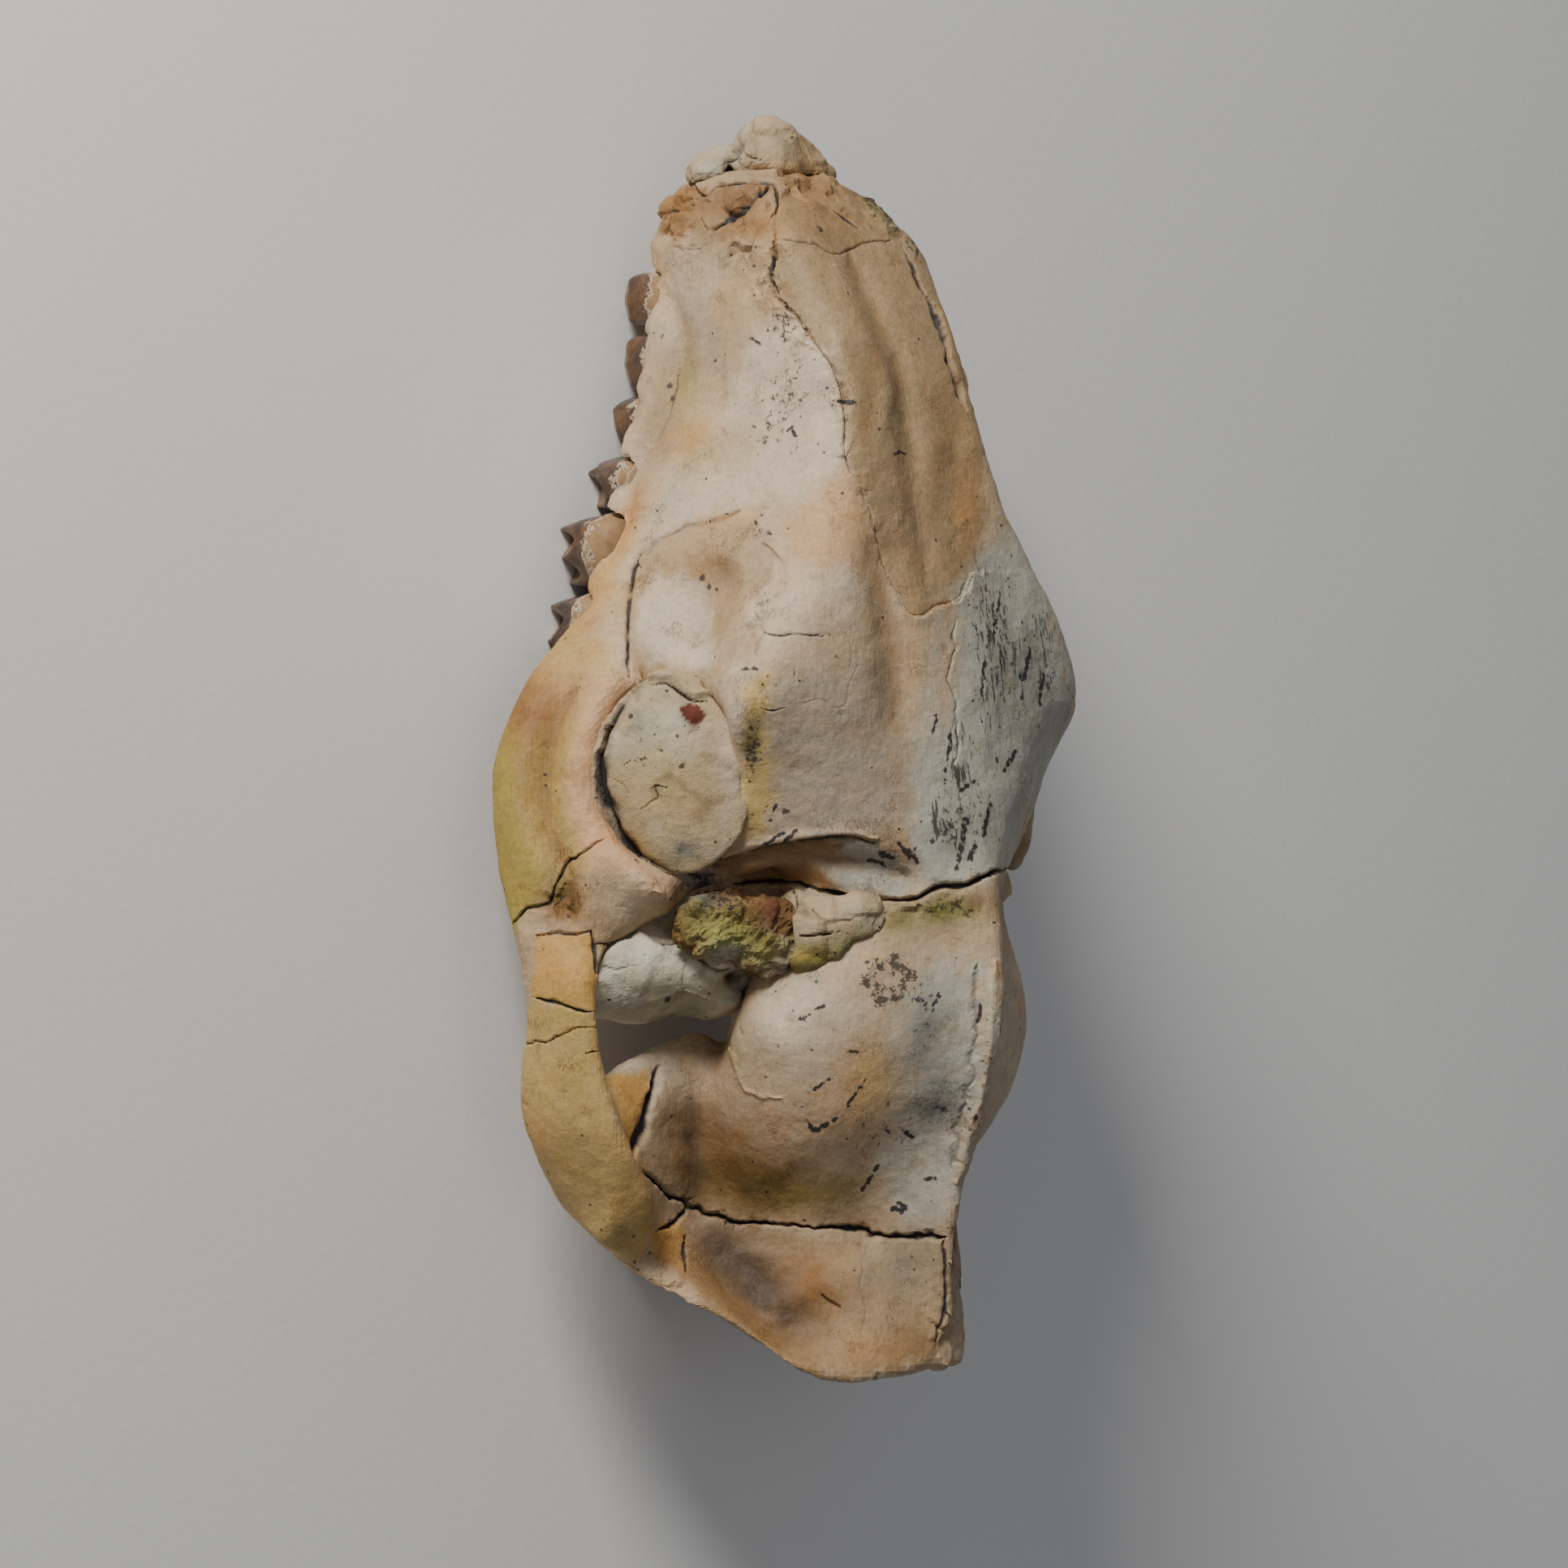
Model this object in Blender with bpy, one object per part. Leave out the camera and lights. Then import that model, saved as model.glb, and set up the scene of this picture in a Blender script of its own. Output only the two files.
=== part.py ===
"""Fossil oreodont cranium, without its lower jaw, resting on its worn teeth and two broken processes.

The snout points to -Y, the animal's left side is +X and the crown of the head is +Z. The origin is on
the resting plane, under the middle of the skull. Sizes below are in millimetres.
"""

import math

import bpy
from mathutils import Euler, Matrix, Vector

MM = 0.001

# Driving dimensions
SKULL_LENGTH = 210.0
CROWN_HEIGHT = 9.0
FIT_GAP = 0.35

# Puts the origin under the middle of the skull's box
CENTRE_SHIFT = 1.12

# Fineness of the bone surface
VOXEL = 1.15
BONE_TRIANGLES_SHARE = 0.0252
RING_STEPS = 4
STATION_STEPS = 4

BONE = (0.55, 0.43, 0.32)
SEDIMENT = (0.42, 0.41, 0.33)
CRUST = (0.36, 0.30, 0.12)
ENAMEL = (0.16, 0.10, 0.06)

# Half sections of the skull without arches: position along the skull, then points (out, up)
# from the floor's middle round the side to the middle of the roof.
CORE = (
    (-97.5, (0, 12), (5, 10.5), (8.5, 11), (10, 17), (8.5, 23), (4.5, 25.5), (0, 26)),
    (-94.5, (0, 11), (6.5, 9), (12.2, 8.5), (14, 18), (12, 27.5), (6.5, 30.5), (0, 31)),
    (-90.0, (0, 11), (8, 8.6), (15.4, 8), (17.2, 19), (15.2, 32.5), (7.5, 35.6), (0, 36)),
    (-85.0, (0, 11.5), (10, 9), (17.8, 8), (19, 22), (16.8, 37.5), (8, 39.6), (0, 40)),
    (-76.0, (0, 12.5), (11, 9), (19, 8), (19.6, 24), (16.6, 42.8), (8, 44.6), (0, 44.9)),
    (-64.5, (0, 13.5), (13, 9), (20.6, 8), (20.8, 25), (16, 48.3), (8, 50), (0, 50.5)),
    (-50.5, (0, 15), (16, 9), (24.6, 8), (24, 25), (17.3, 52), (8, 53.6), (0, 54.2)),
    (-38.5, (0, 16), (18, 9), (29.8, 8), (28.5, 26), (21.5, 53.4), (9, 56), (0, 57)),
    (-30.0, (0, 16.5), (19, 9), (33, 8.5), (32, 27), (28, 54), (12, 58), (0, 59)),
    (-20.0, (0, 17), (20, 9.5), (35.5, 9), (35, 29), (34.5, 54.5), (15, 60), (0, 61)),
    (-8.3, (0, 17), (20.5, 10), (36, 10), (36, 30), (39, 53.6), (18, 61), (0, 63)),
    (3.8, (0, 18), (20, 11), (33, 12), (33, 28), (36, 47.5), (19, 60.5), (0, 64.8)),
    (14.0, (0, 22), (14, 19), (24, 20), (27, 34), (31, 47), (17, 60.3), (0, 66.8)),
    (20.0, (0, 24), (12, 22), (19, 24), (22, 38), (23, 51), (12.5, 61.5), (0, 68.8)),
    (26.0, (0, 24), (11, 22), (16, 25), (19.5, 39), (18, 53.5), (7.5, 64.5), (0, 70.8)),
    (35.0, (0, 22), (9, 20.5), (15, 27), (24, 41.5), (20, 57), (6, 66.5), (0, 72.4)),
    (45.7, (0, 20), (8, 19), (14, 27.5), (27.6, 41.5), (22, 57.5), (6, 66.5), (0, 72.2)),
    (58.0, (0, 19), (11, 17.5), (22, 22), (27.5, 38), (20, 54.5), (5, 63), (0, 69.2)),
    (64.5, (0, 18.5), (11, 17), (23, 21), (26.5, 35), (18.5, 50.5), (4.5, 59), (0, 66.8)),
    (72.6, (0, 18), (11, 16.5), (23, 19), (26, 32), (16.5, 46), (4.5, 55), (0, 64)),
    (82.0, (0, 17.5), (11, 16), (23, 18), (26, 30), (15, 42), (4.5, 52), (0, 61.8)),
    (91.0, (0, 18), (10, 16), (18, 20), (21, 28), (13, 40), (4, 52), (0, 60.8)),
    (96.0, (0, 26), (6, 26), (10, 28), (11, 33), (8, 41), (3, 51), (0, 60.4)),
)

# Cheek arch: position along the skull, lower edge (out, up), upper edge (out, up), thickness.
ARCH = (
    (-27.0, (32, 11), (30, 26), 7.0),
    (-20.0, (40, 9.5), (37, 26), 9.0),
    (-12.3, (50, 11.5), (43, 27), 10.0),
    (-3.0, (56, 12), (46.5, 26.5), 9.5),
    (3.8, (58.5, 12), (47, 25.5), 9.5),
    (10.6, (59.5, 12.8), (47, 26), 9.0),
    (17.3, (59.5, 14), (46.5, 28.5), 8.5),
    (24.0, (59.3, 15.5), (46.5, 31.5), 7.5),
    (30.8, (58.5, 17), (50, 31), 6.0),
    (37.6, (58, 18), (54, 32), 5.0),
    (44.3, (57.5, 19.3), (53.5, 32), 5.0),
    (51.0, (58, 17.7), (53.5, 33), 5.2),
    (57.8, (57.5, 16.5), (53, 34.5), 5.6),
    (64.5, (55.5, 16.8), (51, 36), 6.5),
    (71.0, (52.3, 17), (47, 36.5), 7.5),
    (77.0, (48.5, 18), (42.5, 36), 8.5),
    (83.0, (41, 20.5), (36, 33), 7.0),
)

# Rim of the nuchal crest, from the middle outwards: (out, along, up).
NUCHAL_RIM = (
    (0, 101.0, 59.0),
    (7, 102.5, 57.0),
    (13, 103.6, 54.2),
    (19, 103.6, 50.8),
    (25, 101.0, 46.8),
    (30, 95.6, 40.5),
    (35, 90.5, 32),
    (40, 85.8, 25),
)
NUCHAL_EDGE = 2.0

# The right side is broken: its cheek arch ends behind the eye, and the crest has lost its upper part.
BROKEN_ARCH_FRONT = 19.0
BROKEN_ARCH_ROOT = 37.0
BROKEN_CREST_REACH = 64.0
BROKEN_CREST_FRONT = 70.0

# Eye socket: an ellipsoid whose mouth faces out and up.
ORBIT_CENTRE = (45.0, 4.5, 40.5)
ORBIT_TILT = 40.0
ORBIT_RADII = (18.0, 16.0, 12.5)
ORBIT_SPILL = 1.6

# Hollow of the cheek in front of the eye.
FOSSA_CENTRE = (39.6, -26.5, 35.5)
FOSSA_RADII = (11.0, 13.5, 12.5)

# Holes on the middle line: centre, then radii.
SPINAL_HOLE = ((0, 95, 27), (7, 14, 6))
THROAT_HOLLOW = ((0, 20, 14), (8.5, 17, 8))

# Cheek teeth of one side, front to back: name, centre (out, along), length, width, turn in degrees.
TEETH = (
    ("P1", (15.7, -75.8), 9.4, 6.4, 2.0),
    ("P2", (15.6, -65.2), 10.2, 7.4, 8.0),
    ("P3", (17.8, -54.8), 9.8, 8.6, 20.0),
    ("P4", (21.0, -44.7), 9.0, 10.6, 20.0),
    ("M1", (26.8, -33.1), 12.2, 12.6, 12.0),
    ("M2", (29.0, -18.6), 14.8, 14.6, 6.0),
    ("M3", (29.2, -1.2), 18.0, 15.4, -3.0),
)

# The worn, level part of each chewing surface, as shares of the tooth's own width and length.
WORN_WIDTH = 0.52
WORN_LENGTH = 0.68
WORN_INSET = 0.14
MOLAR_LENGTH = 11.0
CROWN_SIDES = 20


def catmull_rom(p, q, r, s, t):
    """The curve's value at t between q and r, whose neighbours are p and s."""
    square = 2 * p - 5 * q + 4 * r - s
    cube = 3 * q - p - 3 * r + s
    return 0.5 * (2 * q + (r - p) * t + square * t * t + cube * t ** 3)


def smooth(points, steps, closed=False):
    """Points of a Catmull-Rom curve through the given points, which may have any number of coordinates."""
    count = len(points)
    spans = count if closed else count - 1
    result = []
    for i in range(spans):
        if closed:
            a, b, c, d = (points[(i + k) % count] for k in (-1, 0, 1, 2))
        else:
            a, b, c, d = (points[min(max(i + k, 0), count - 1)] for k in (-1, 0, 1, 2))
        for step in range(steps):
            t = step / steps
            result.append(tuple(catmull_rom(p, q, r, s, t) for p, q, r, s in zip(a, b, c, d)))
    if not closed:
        result.append(tuple(points[-1]))
    return result


def skin(rings):
    """(points, faces) of a closed body through rings of equal length, with flat caps."""
    count = len(rings[0])
    points = [p for ring in rings for p in ring]
    faces = []
    for r in range(len(rings) - 1):
        for i in range(count):
            j = (i + 1) % count
            faces.append((r * count + i, r * count + j, (r + 1) * count + j, (r + 1) * count + i))
    faces.append(tuple(reversed(range(count))))
    faces.append(tuple(range((len(rings) - 1) * count, len(rings) * count)))
    if volume(points, faces) < 0:
        faces = [tuple(reversed(face)) for face in faces]
    return points, faces


def volume(points, faces):
    """Signed volume, which is negative where the faces point in."""
    total = 0.0
    for face in faces:
        a = Vector(points[face[0]])
        for i in range(1, len(face) - 1):
            total += a.dot(Vector(points[face[i]]).cross(Vector(points[face[i + 1]])))
    return total / 6


def mirrored(body):
    """The same body on the other side of the skull."""
    points, faces = body
    return [(-x, y, z) for x, y, z in points], [tuple(reversed(f)) for f in faces]


def both_sides(body):
    return [body, mirrored(body)]


def rotation(turn):
    """The matrix that turns by degrees about X, then Y, then Z."""
    return Euler([math.radians(a) for a in turn]).to_matrix()


def ball(centre, radii, turn=(0.0, 0.0, 0.0), rings=16, sides=24):
    """An ellipsoid, turned by degrees about X, Y and Z."""
    spin = rotation(turn)
    loops = []
    for r in range(1, rings):
        lat = math.pi * r / rings
        loop = []
        for s in range(sides):
            lon = 2 * math.pi * s / sides
            p = Vector((math.sin(lat) * math.cos(lon), math.sin(lat) * math.sin(lon), -math.cos(lat)))
            p = spin @ Vector((p.x * radii[0], p.y * radii[1], p.z * radii[2])) + Vector(centre)
            loop.append(tuple(p))
        loops.append(loop)
    return skin(loops)


def strut(path, sizes, across, sides=16, steps=5):
    """A bar of oval section along a curve. sizes are half widths (along across, and square to it)."""
    line = smooth([tuple(p) + tuple(s) for p, s in zip(path, sizes)], steps)
    rings = []
    for i, at in enumerate(line):
        before, after = line[max(i - 1, 0)], line[min(i + 1, len(line) - 1)]
        run = (Vector(after[:3]) - Vector(before[:3])).normalized()
        side = (Vector(across) - run * run.dot(Vector(across))).normalized()
        other = run.cross(side)
        ring = []
        for s in range(sides):
            a = 2 * math.pi * s / sides
            ring.append(tuple(Vector(at[:3]) + side * at[3] * math.cos(a) + other * at[4] * math.sin(a)))
        rings.append(ring)
    return skin(rings)


def core():
    """Snout, face, forehead and braincase as one body, from the half sections."""
    flat = [[value for point in station[1:] for value in point] + [station[0]] for station in CORE]
    rings = []
    for values in smooth(flat, STATION_STEPS):
        along = values[-1]
        half = [(values[2 * i], values[2 * i + 1]) for i in range(len(CORE[0]) - 1)]
        loop = half + [(-x, z) for x, z in reversed(half[1:-1])]
        rings.append([(x, along, z) for x, z in smooth(loop, RING_STEPS, closed=True)])
    return skin(rings)


def arch():
    """The left cheek arch: a plate that bulges outwards, from the maxilla to the braincase."""
    bulge = 0.8
    squareness = 0.75
    sides = 20
    flat = [(y, *low, *high, thick) for y, low, high, thick in ARCH]
    rings = []
    for y, x0, z0, x1, z1, thick in smooth(flat, STATION_STEPS):
        low, high = Vector((x0, z0)), Vector((x1, z1))
        inward = Vector((-(high - low).y, (high - low).x)).normalized()
        middle = (low + high) / 2 + inward * (thick / 2 - bulge)
        reach = (high - low) / 2
        ring = []
        for s in range(sides):
            a = 2 * math.pi * s / sides
            c, n = math.cos(a), math.sin(a)
            c = math.copysign(abs(c) ** squareness, c)
            n = math.copysign(abs(n) ** squareness, n)
            p = middle + reach * c + inward * (thick / 2 * n - bulge * (1 - c * c))
            ring.append((p.x, y, p.y))
        rings.append(ring)
    return skin(rings)


def postorbital_bar():
    """The bar behind the eye socket, from the forehead down to the cheek arch."""
    path = (
        (14, 13, 51),
        (22, 14.5, 48),
        (29, 16.5, 42),
        (35, 19, 35.5),
        (39.5, 21.5, 31.5),
        (46, 24.5, 28.5),
        (53, 26, 26),
    )
    sizes = ((5, 5), (5, 5), (5, 4.5), (4.4, 4), (5, 3.6), (7.5, 3.6), (9, 4))
    return strut(path, sizes, (0, 1, 0))


def nuchal_wing():
    """The left half of the crest that overhangs the back of the skull, as slices from the middle out."""
    rim = smooth(NUCHAL_RIM, STATION_STEPS)
    rim = [(-rim[2][0], rim[2][1], rim[2][2]), (-rim[1][0], rim[1][1], rim[1][2])] + rim
    rings = []
    for x, y, z in rim:
        reach = 1.0 - 0.55 * max(x, 0) / NUCHAL_RIM[-1][0]
        root_front = (y - 22 * reach, z - 9 * reach)
        root_back = (y - 10 * reach, z - 20 * reach)
        section = (
            (y + NUCHAL_EDGE * 0.6, z - NUCHAL_EDGE * 0.2),
            (y - NUCHAL_EDGE * 0.4, z + NUCHAL_EDGE * 0.8),
            (y - 7 * reach, z - 2.2 * reach),
            root_front,
            root_back,
            (y - 3.5 * reach, z - 8.5 * reach),
        )
        rings.append([(x, sy, sz) for sy, sz in smooth(section, 3, closed=True)])
    return skin(rings)


def skull_base():
    """What stands out of the underside and the back, for the left side."""
    jaw_shelf = strut(
        ((18, 64, 24.5), (29, 65.5, 25), (40, 68, 25.5), (50, 70, 27)),
        ((18, 6), (17.5, 5.5), (16, 5), (13, 5)),
        (0, 1, 0),
    )
    process_behind_the_ear = strut(
        ((21, 77, 26), (20.5, 78, 15), (20, 78.5, 6), (19.5, 78.5, -3)),
        ((6, 6), (4.4, 5.4), (3.2, 4.2), (2.8, 3.4)),
        (1, 0, 0),
    )
    wing_beside_the_throat = strut(
        ((11, 4, 20), (11, 18, 17), (10.5, 30, 17), (10, 42, 20)),
        ((2.0, 6), (1.7, 8), (1.7, 8), (2.0, 5)),
        (1, 0, 0),
    )
    stop_behind_the_jaw = ball((37, 75, 19), (9, 3.6, 6.5))
    ear_capsule = ball((14.5, 66, 14.5), (6.5, 9.5, 7))
    neck_joint = ball((9.6, 88.5, 20), (6.4, 7.2, 7.2), (20, 0, -15))
    mastoid = ball((27, 82, 26), (9, 7, 9))
    return [
        jaw_shelf,
        process_behind_the_ear,
        wing_beside_the_throat,
        stop_behind_the_jaw,
        ear_capsule,
        neck_joint,
        mastoid,
    ]


def occiput():
    """The plate at the back of the skull, between the condyles and the crest."""
    return [ball((0, 87, 33), (19, 7, 17)), strut(((0, 88, 32), (0, 94, 56)), ((3, 5), (2, 4)), (1, 0, 0))]


def breaks():
    """What is missing on the right: the cheek arch behind the eye, and the top of the crest's wing."""
    arch_half = (40, 50, 60)
    arch_centre = (-BROKEN_ARCH_ROOT - arch_half[0], BROKEN_ARCH_FRONT + arch_half[1], 40)
    crest_half = (SKULL_LENGTH, 40, 20)
    slope = Vector((-1, 0, 1)).normalized()
    crest_centre = slope * (BROKEN_CREST_REACH * math.sqrt(0.5) + crest_half[2])
    crest_centre.y = BROKEN_CREST_FRONT + crest_half[1]
    return [slab(arch_centre, arch_half, (0, 8, -4)), slab(crest_centre, crest_half, (0, -45, 0))]


def mesh_object(name, bodies, colour, roughness):
    """One object that holds several overlapping bodies, given in millimetres."""
    points, faces = [], []
    for some_points, some_faces in bodies:
        first = len(points)
        points += [(x * MM, (y + CENTRE_SHIFT) * MM, z * MM) for x, y, z in some_points]
        faces += [tuple(first + i for i in face) for face in some_faces]
    mesh = bpy.data.meshes.new(name)
    mesh.from_pydata(points, [], faces)
    mesh.validate()
    mesh.materials.append(finish(name, colour, roughness))
    item = bpy.data.objects.new(name, mesh)
    bpy.context.scene.collection.objects.link(item)
    return item


def finish(name, colour, roughness):
    """A plain material with the part's colour and roughness."""
    material = bpy.data.materials.new(name)
    material.use_nodes = True
    shader = material.node_tree.nodes["Principled BSDF"]
    shader.inputs["Base Color"].default_value = (*colour, 1.0)
    shader.inputs["Roughness"].default_value = roughness
    shader.inputs["Metallic"].default_value = 0.0
    return material


def cutter(name, bodies):
    """A helper that only cuts, and isn't a piece of the skull."""
    item = mesh_object(name, bodies, SEDIMENT, 1.0)
    item.hide_render = True
    item.display_type = "WIRE"
    return item


def box(low, high):
    (x0, y0, z0), (x1, y1, z1) = low, high
    rings = [[(x0, y0, z), (x1, y0, z), (x1, y1, z), (x0, y1, z)] for z in (z0, z1)]
    return skin(rings)


def slab(centre, half, turn):
    """A box about its centre, with half sizes, turned by degrees about X, Y and Z."""
    points, faces = box([-h for h in half], half)
    spin = rotation(turn)
    return [tuple(spin @ Vector(p) + Vector(centre)) for p in points], faces


def fuse(item, voxel):
    """Turns overlapping bodies into one closed surface."""
    step = item.modifiers.new("fuse", "REMESH")
    step.mode = "VOXEL"
    step.voxel_size = voxel * MM


def relax(item, rounds):
    step = item.modifiers.new("relax", "SMOOTH")
    step.factor = 0.5
    step.iterations = rounds


def thin_out(item, share):
    step = item.modifiers.new("thin_out", "DECIMATE")
    step.ratio = share


def cut(item, tool, operation="DIFFERENCE"):
    step = item.modifiers.new(f"{operation.lower()}_{tool.name}", "BOOLEAN")
    step.operation = operation
    step.object = tool
    step.solver = "EXACT"


def settle(item):
    """Gives the object the mesh that its modifiers make, and removes them."""
    graph = bpy.context.evaluated_depsgraph_get()
    item.data = bpy.data.meshes.new_from_object(item.evaluated_get(graph))
    item.modifiers.clear()


def orbit_ball(shrink=0.0, rings=16, sides=24):
    """The eye socket's ellipsoid, or one that is smaller all round."""
    return ball(ORBIT_CENTRE, [r - shrink for r in ORBIT_RADII], (0, -ORBIT_TILT, 0), rings, sides)


def floor_cutter():
    """All that lies below the resting plane."""
    side = SKULL_LENGTH
    return cutter("floor_cutter", [box((-side, -side, -30), (side, side, 0))])


def cusps_of(length):
    """How many cusps stand along the outer edge of a tooth of this length."""
    return 2 if length > MOLAR_LENGTH else 1


def tooth_outline(length, width, level, ribs, sides):
    """Points (out, along) round a crown at a level, 0 at the chewing edge and 1 at the neck."""
    squareness = 0.62
    spread = 0.86 + 0.14 * math.sin(min(level, 1.0) * math.pi / 2)
    if level > 1.0:
        spread = 1.0 - 0.16 * (level - 1.0) / 0.4
    loop = []
    for s in range(sides):
        a = 2 * math.pi * s / sides
        c, n = math.cos(a), math.sin(a)
        out = math.copysign(abs(c) ** squareness, c) * width / 2 * spread
        along = math.copysign(abs(n) ** squareness, n) * length / 2 * spread
        if c > 0.2 and level <= 1.0:
            out += 0.55 * math.cos(2 * math.pi * ribs * along / length) * (1.1 - 0.6 * level)
        loop.append((out, along))
    return loop


def tooth_body(centre, length, width, turn):
    """A worn crown with a stub of root: cusps stand along its outer edge, two of them on a molar."""
    cusps = cusps_of(length)
    notch = 4.0
    bevel = 0.5
    levels = (0.04, 0.25, 0.6, 1.0, 1.4)
    turned = Matrix.Rotation(math.radians(turn), 2)
    outline = tooth_outline(length, width, 0.0, 1, CROWN_SIDES)
    rings = [[(out * WORN_WIDTH - width * WORN_INSET, along * WORN_LENGTH, 0.0) for out, along in outline]]
    for level in levels:
        ring = []
        for out, along in tooth_outline(length, width, level, cusps, CROWN_SIDES):
            phase = abs(math.cos(math.pi * cusps * (along / length + 0.5)))
            outer = 1.0 if out > 0 else 0.35
            lift = max(0.0, phase - 0.25) * notch * max(0.0, 1.0 - level * 1.8) * outer
            ring.append((out, along, level * CROWN_HEIGHT + lift + (0.0 if out > 0 else bevel)))
        rings.append(ring)
    placed = []
    for ring in rings:
        corners = [(turned @ Vector((out, along)), up) for out, along, up in ring]
        placed.append([(centre[0] + p.x, centre[1] + p.y, up) for p, up in corners])
    return skin(placed)


def socket_body(centre, length, width, turn):
    """The space in the jaw that holds a tooth's neck and root, a little larger than the tooth."""
    turned = Matrix.Rotation(math.radians(turn), 2)
    rings = []
    for level, grow in ((0.4, 2 * FIT_GAP + 1.6), (1.0, 2 * FIT_GAP + 0.9), (1.52, 2 * FIT_GAP + 0.4)):
        ring = []
        outline = tooth_outline(length + grow, width + grow, max(level, 1.0), cusps_of(length), CROWN_SIDES)
        for out, along in outline:
            x, y = turned @ Vector((out, along))
            ring.append((centre[0] + x, centre[1] + y, level * CROWN_HEIGHT))
        rings.append(ring)
    return skin(rings)


def build_teeth():
    """Seven cheek teeth on each side, each one its own solid."""
    for name, centre, length, width, turn in TEETH:
        body = tooth_body(centre, length, width, turn)
        for side, shape in (("left", body), ("right", mirrored(body))):
            mesh_object(f"tooth_{name}_{side}", [shape], ENAMEL, 0.3)


def build_cranium():
    """The fused bones of the skull, hollowed for the eyes, the palate and the spinal cord."""
    bodies = [core(), *occiput()]
    for body in (arch(), postorbital_bar(), nuchal_wing(), *skull_base()):
        bodies += both_sides(body)
    skull = mesh_object("cranium", bodies, BONE, 0.75)
    fuse(skull, VOXEL)
    hollows = both_sides(orbit_ball()) + both_sides(ball(FOSSA_CENTRE, FOSSA_RADII))
    hollows += [ball(*SPINAL_HOLE), ball(*THROAT_HOLLOW)]
    cut(skull, cutter("hollow_cutter", hollows))
    for name, body in zip(("arch_break", "crest_break"), breaks()):
        cut(skull, cutter(name, [body]))
    fuse(skull, VOXEL)
    relax(skull, 4)
    thin_out(skull, BONE_TRIANGLES_SHARE)
    for first in (0, 1):
        sockets = []
        for _, centre, length, width, turn in TEETH[first::2]:
            sockets += both_sides(socket_body(centre, length, width, turn))
        cut(skull, cutter(f"socket_cutter_{first}", sockets))
    cut(skull, floor_cutter())
    settle(skull)
    return skull


def build_orbit_fill(bone):
    """Sediment that fills each eye socket to just below its rim, and the way out of it behind the rim."""
    tilt = math.radians(ORBIT_TILT)
    mouth = Matrix.Rotation(-tilt, 3, "Y")
    sink = 2.2
    dome = 60.0
    centre = Vector(ORBIT_CENTRE) + mouth @ Vector((-sink - dome, 0, 0))
    face = ball(tuple(centre), (dome, dome, dome), rings=20, sides=24)
    shape = orbit_ball(-ORBIT_SPILL, rings=10, sides=16)
    for side, body, keep in (("left", shape, face), ("right", mirrored(shape), mirrored(face))):
        fill = mesh_object(f"orbit_matrix_{side}", [body], SEDIMENT, 0.9)
        cut(fill, cutter(f"orbit_face_{side}", [keep]), "INTERSECT")
        cut(fill, bone)
        settle(fill)


def grown(item):
    """A helper with the item's shape, swollen by the gap that touching pieces keep."""
    helper = bpy.data.objects.new(f"{item.name}_grown", item.data)
    bpy.context.scene.collection.objects.link(helper)
    helper.hide_render = True
    helper.display_type = "WIRE"
    swell = helper.modifiers.new("swell", "DISPLACE")
    swell.mid_level = 0.0
    swell.strength = FIT_GAP * MM
    return helper


def build_loose_matrix(bone):
    """Lumps left on the snout and in the left temple, each cut to the bone and lumps that it sits on."""
    temple = [
        ball((40, 36.5, 25), (16, 8.5, 9), (0, 15, 0)),
        ball((27, 37, 29), (12, 7.5, 11)),
        ball((46, 33, 22), (10, 7, 7)),
    ]
    crust = [
        ball((33, 29.5, 39), (7, 6, 6)),
        ball((26, 31, 44), (7, 7, 6)),
    ]
    chip = [
        ball((19, 31, 48), (8, 8, 8.5)),
        ball((14, 28, 54), (7, 5.5, 6)),
    ]
    snout = [
        ball((2, -100.3, 20), (6, 6.6, 6.4)),
        ball((8.5, -97, 13.5), (4.8, 4.8, 4.8)),
        ball((-3, -97.5, 23.5), (5.5, 5, 4.5)),
    ]
    below = [bone]
    for name, bodies, colour, share in (
        ("temple_matrix", temple, SEDIMENT, 0.05),
        ("temple_crust", crust, CRUST, 0.08),
        ("temple_bone_chip", chip, BONE, 0.08),
        ("snout_matrix", snout, SEDIMENT, 0.09),
    ):
        lump = mesh_object(name, bodies, colour, 0.9)
        fuse(lump, 1.0)
        relax(lump, 2)
        thin_out(lump, share)
        for neighbour in below:
            cut(lump, neighbour)
        settle(lump)
        below.append(grown(lump))


def clear_scene():
    for item in list(bpy.data.objects):
        bpy.data.objects.remove(item)


def main():
    clear_scene()
    skull = build_cranium()
    build_teeth()
    bone = grown(skull)
    build_orbit_fill(bone)
    build_loose_matrix(bone)


main()
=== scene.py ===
"""Looks of the fossil oreodont skull: fine meshes of its bone, teeth and sediment, on a pale floor.

Pieces are in metres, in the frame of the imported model. Most tables of features give places in the
picture's own pixels, which the functions below turn into places on the skull. Those for the back and the
underside give places seen square from that side. The snout points to -Y, the animal's left is +X and the
crown of the head is +Z.
"""

import math
from collections import namedtuple

import bmesh
import bpy
import numpy as np
from mathutils import Matrix, Vector
from mathutils.bvhtree import BVHTree


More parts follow.
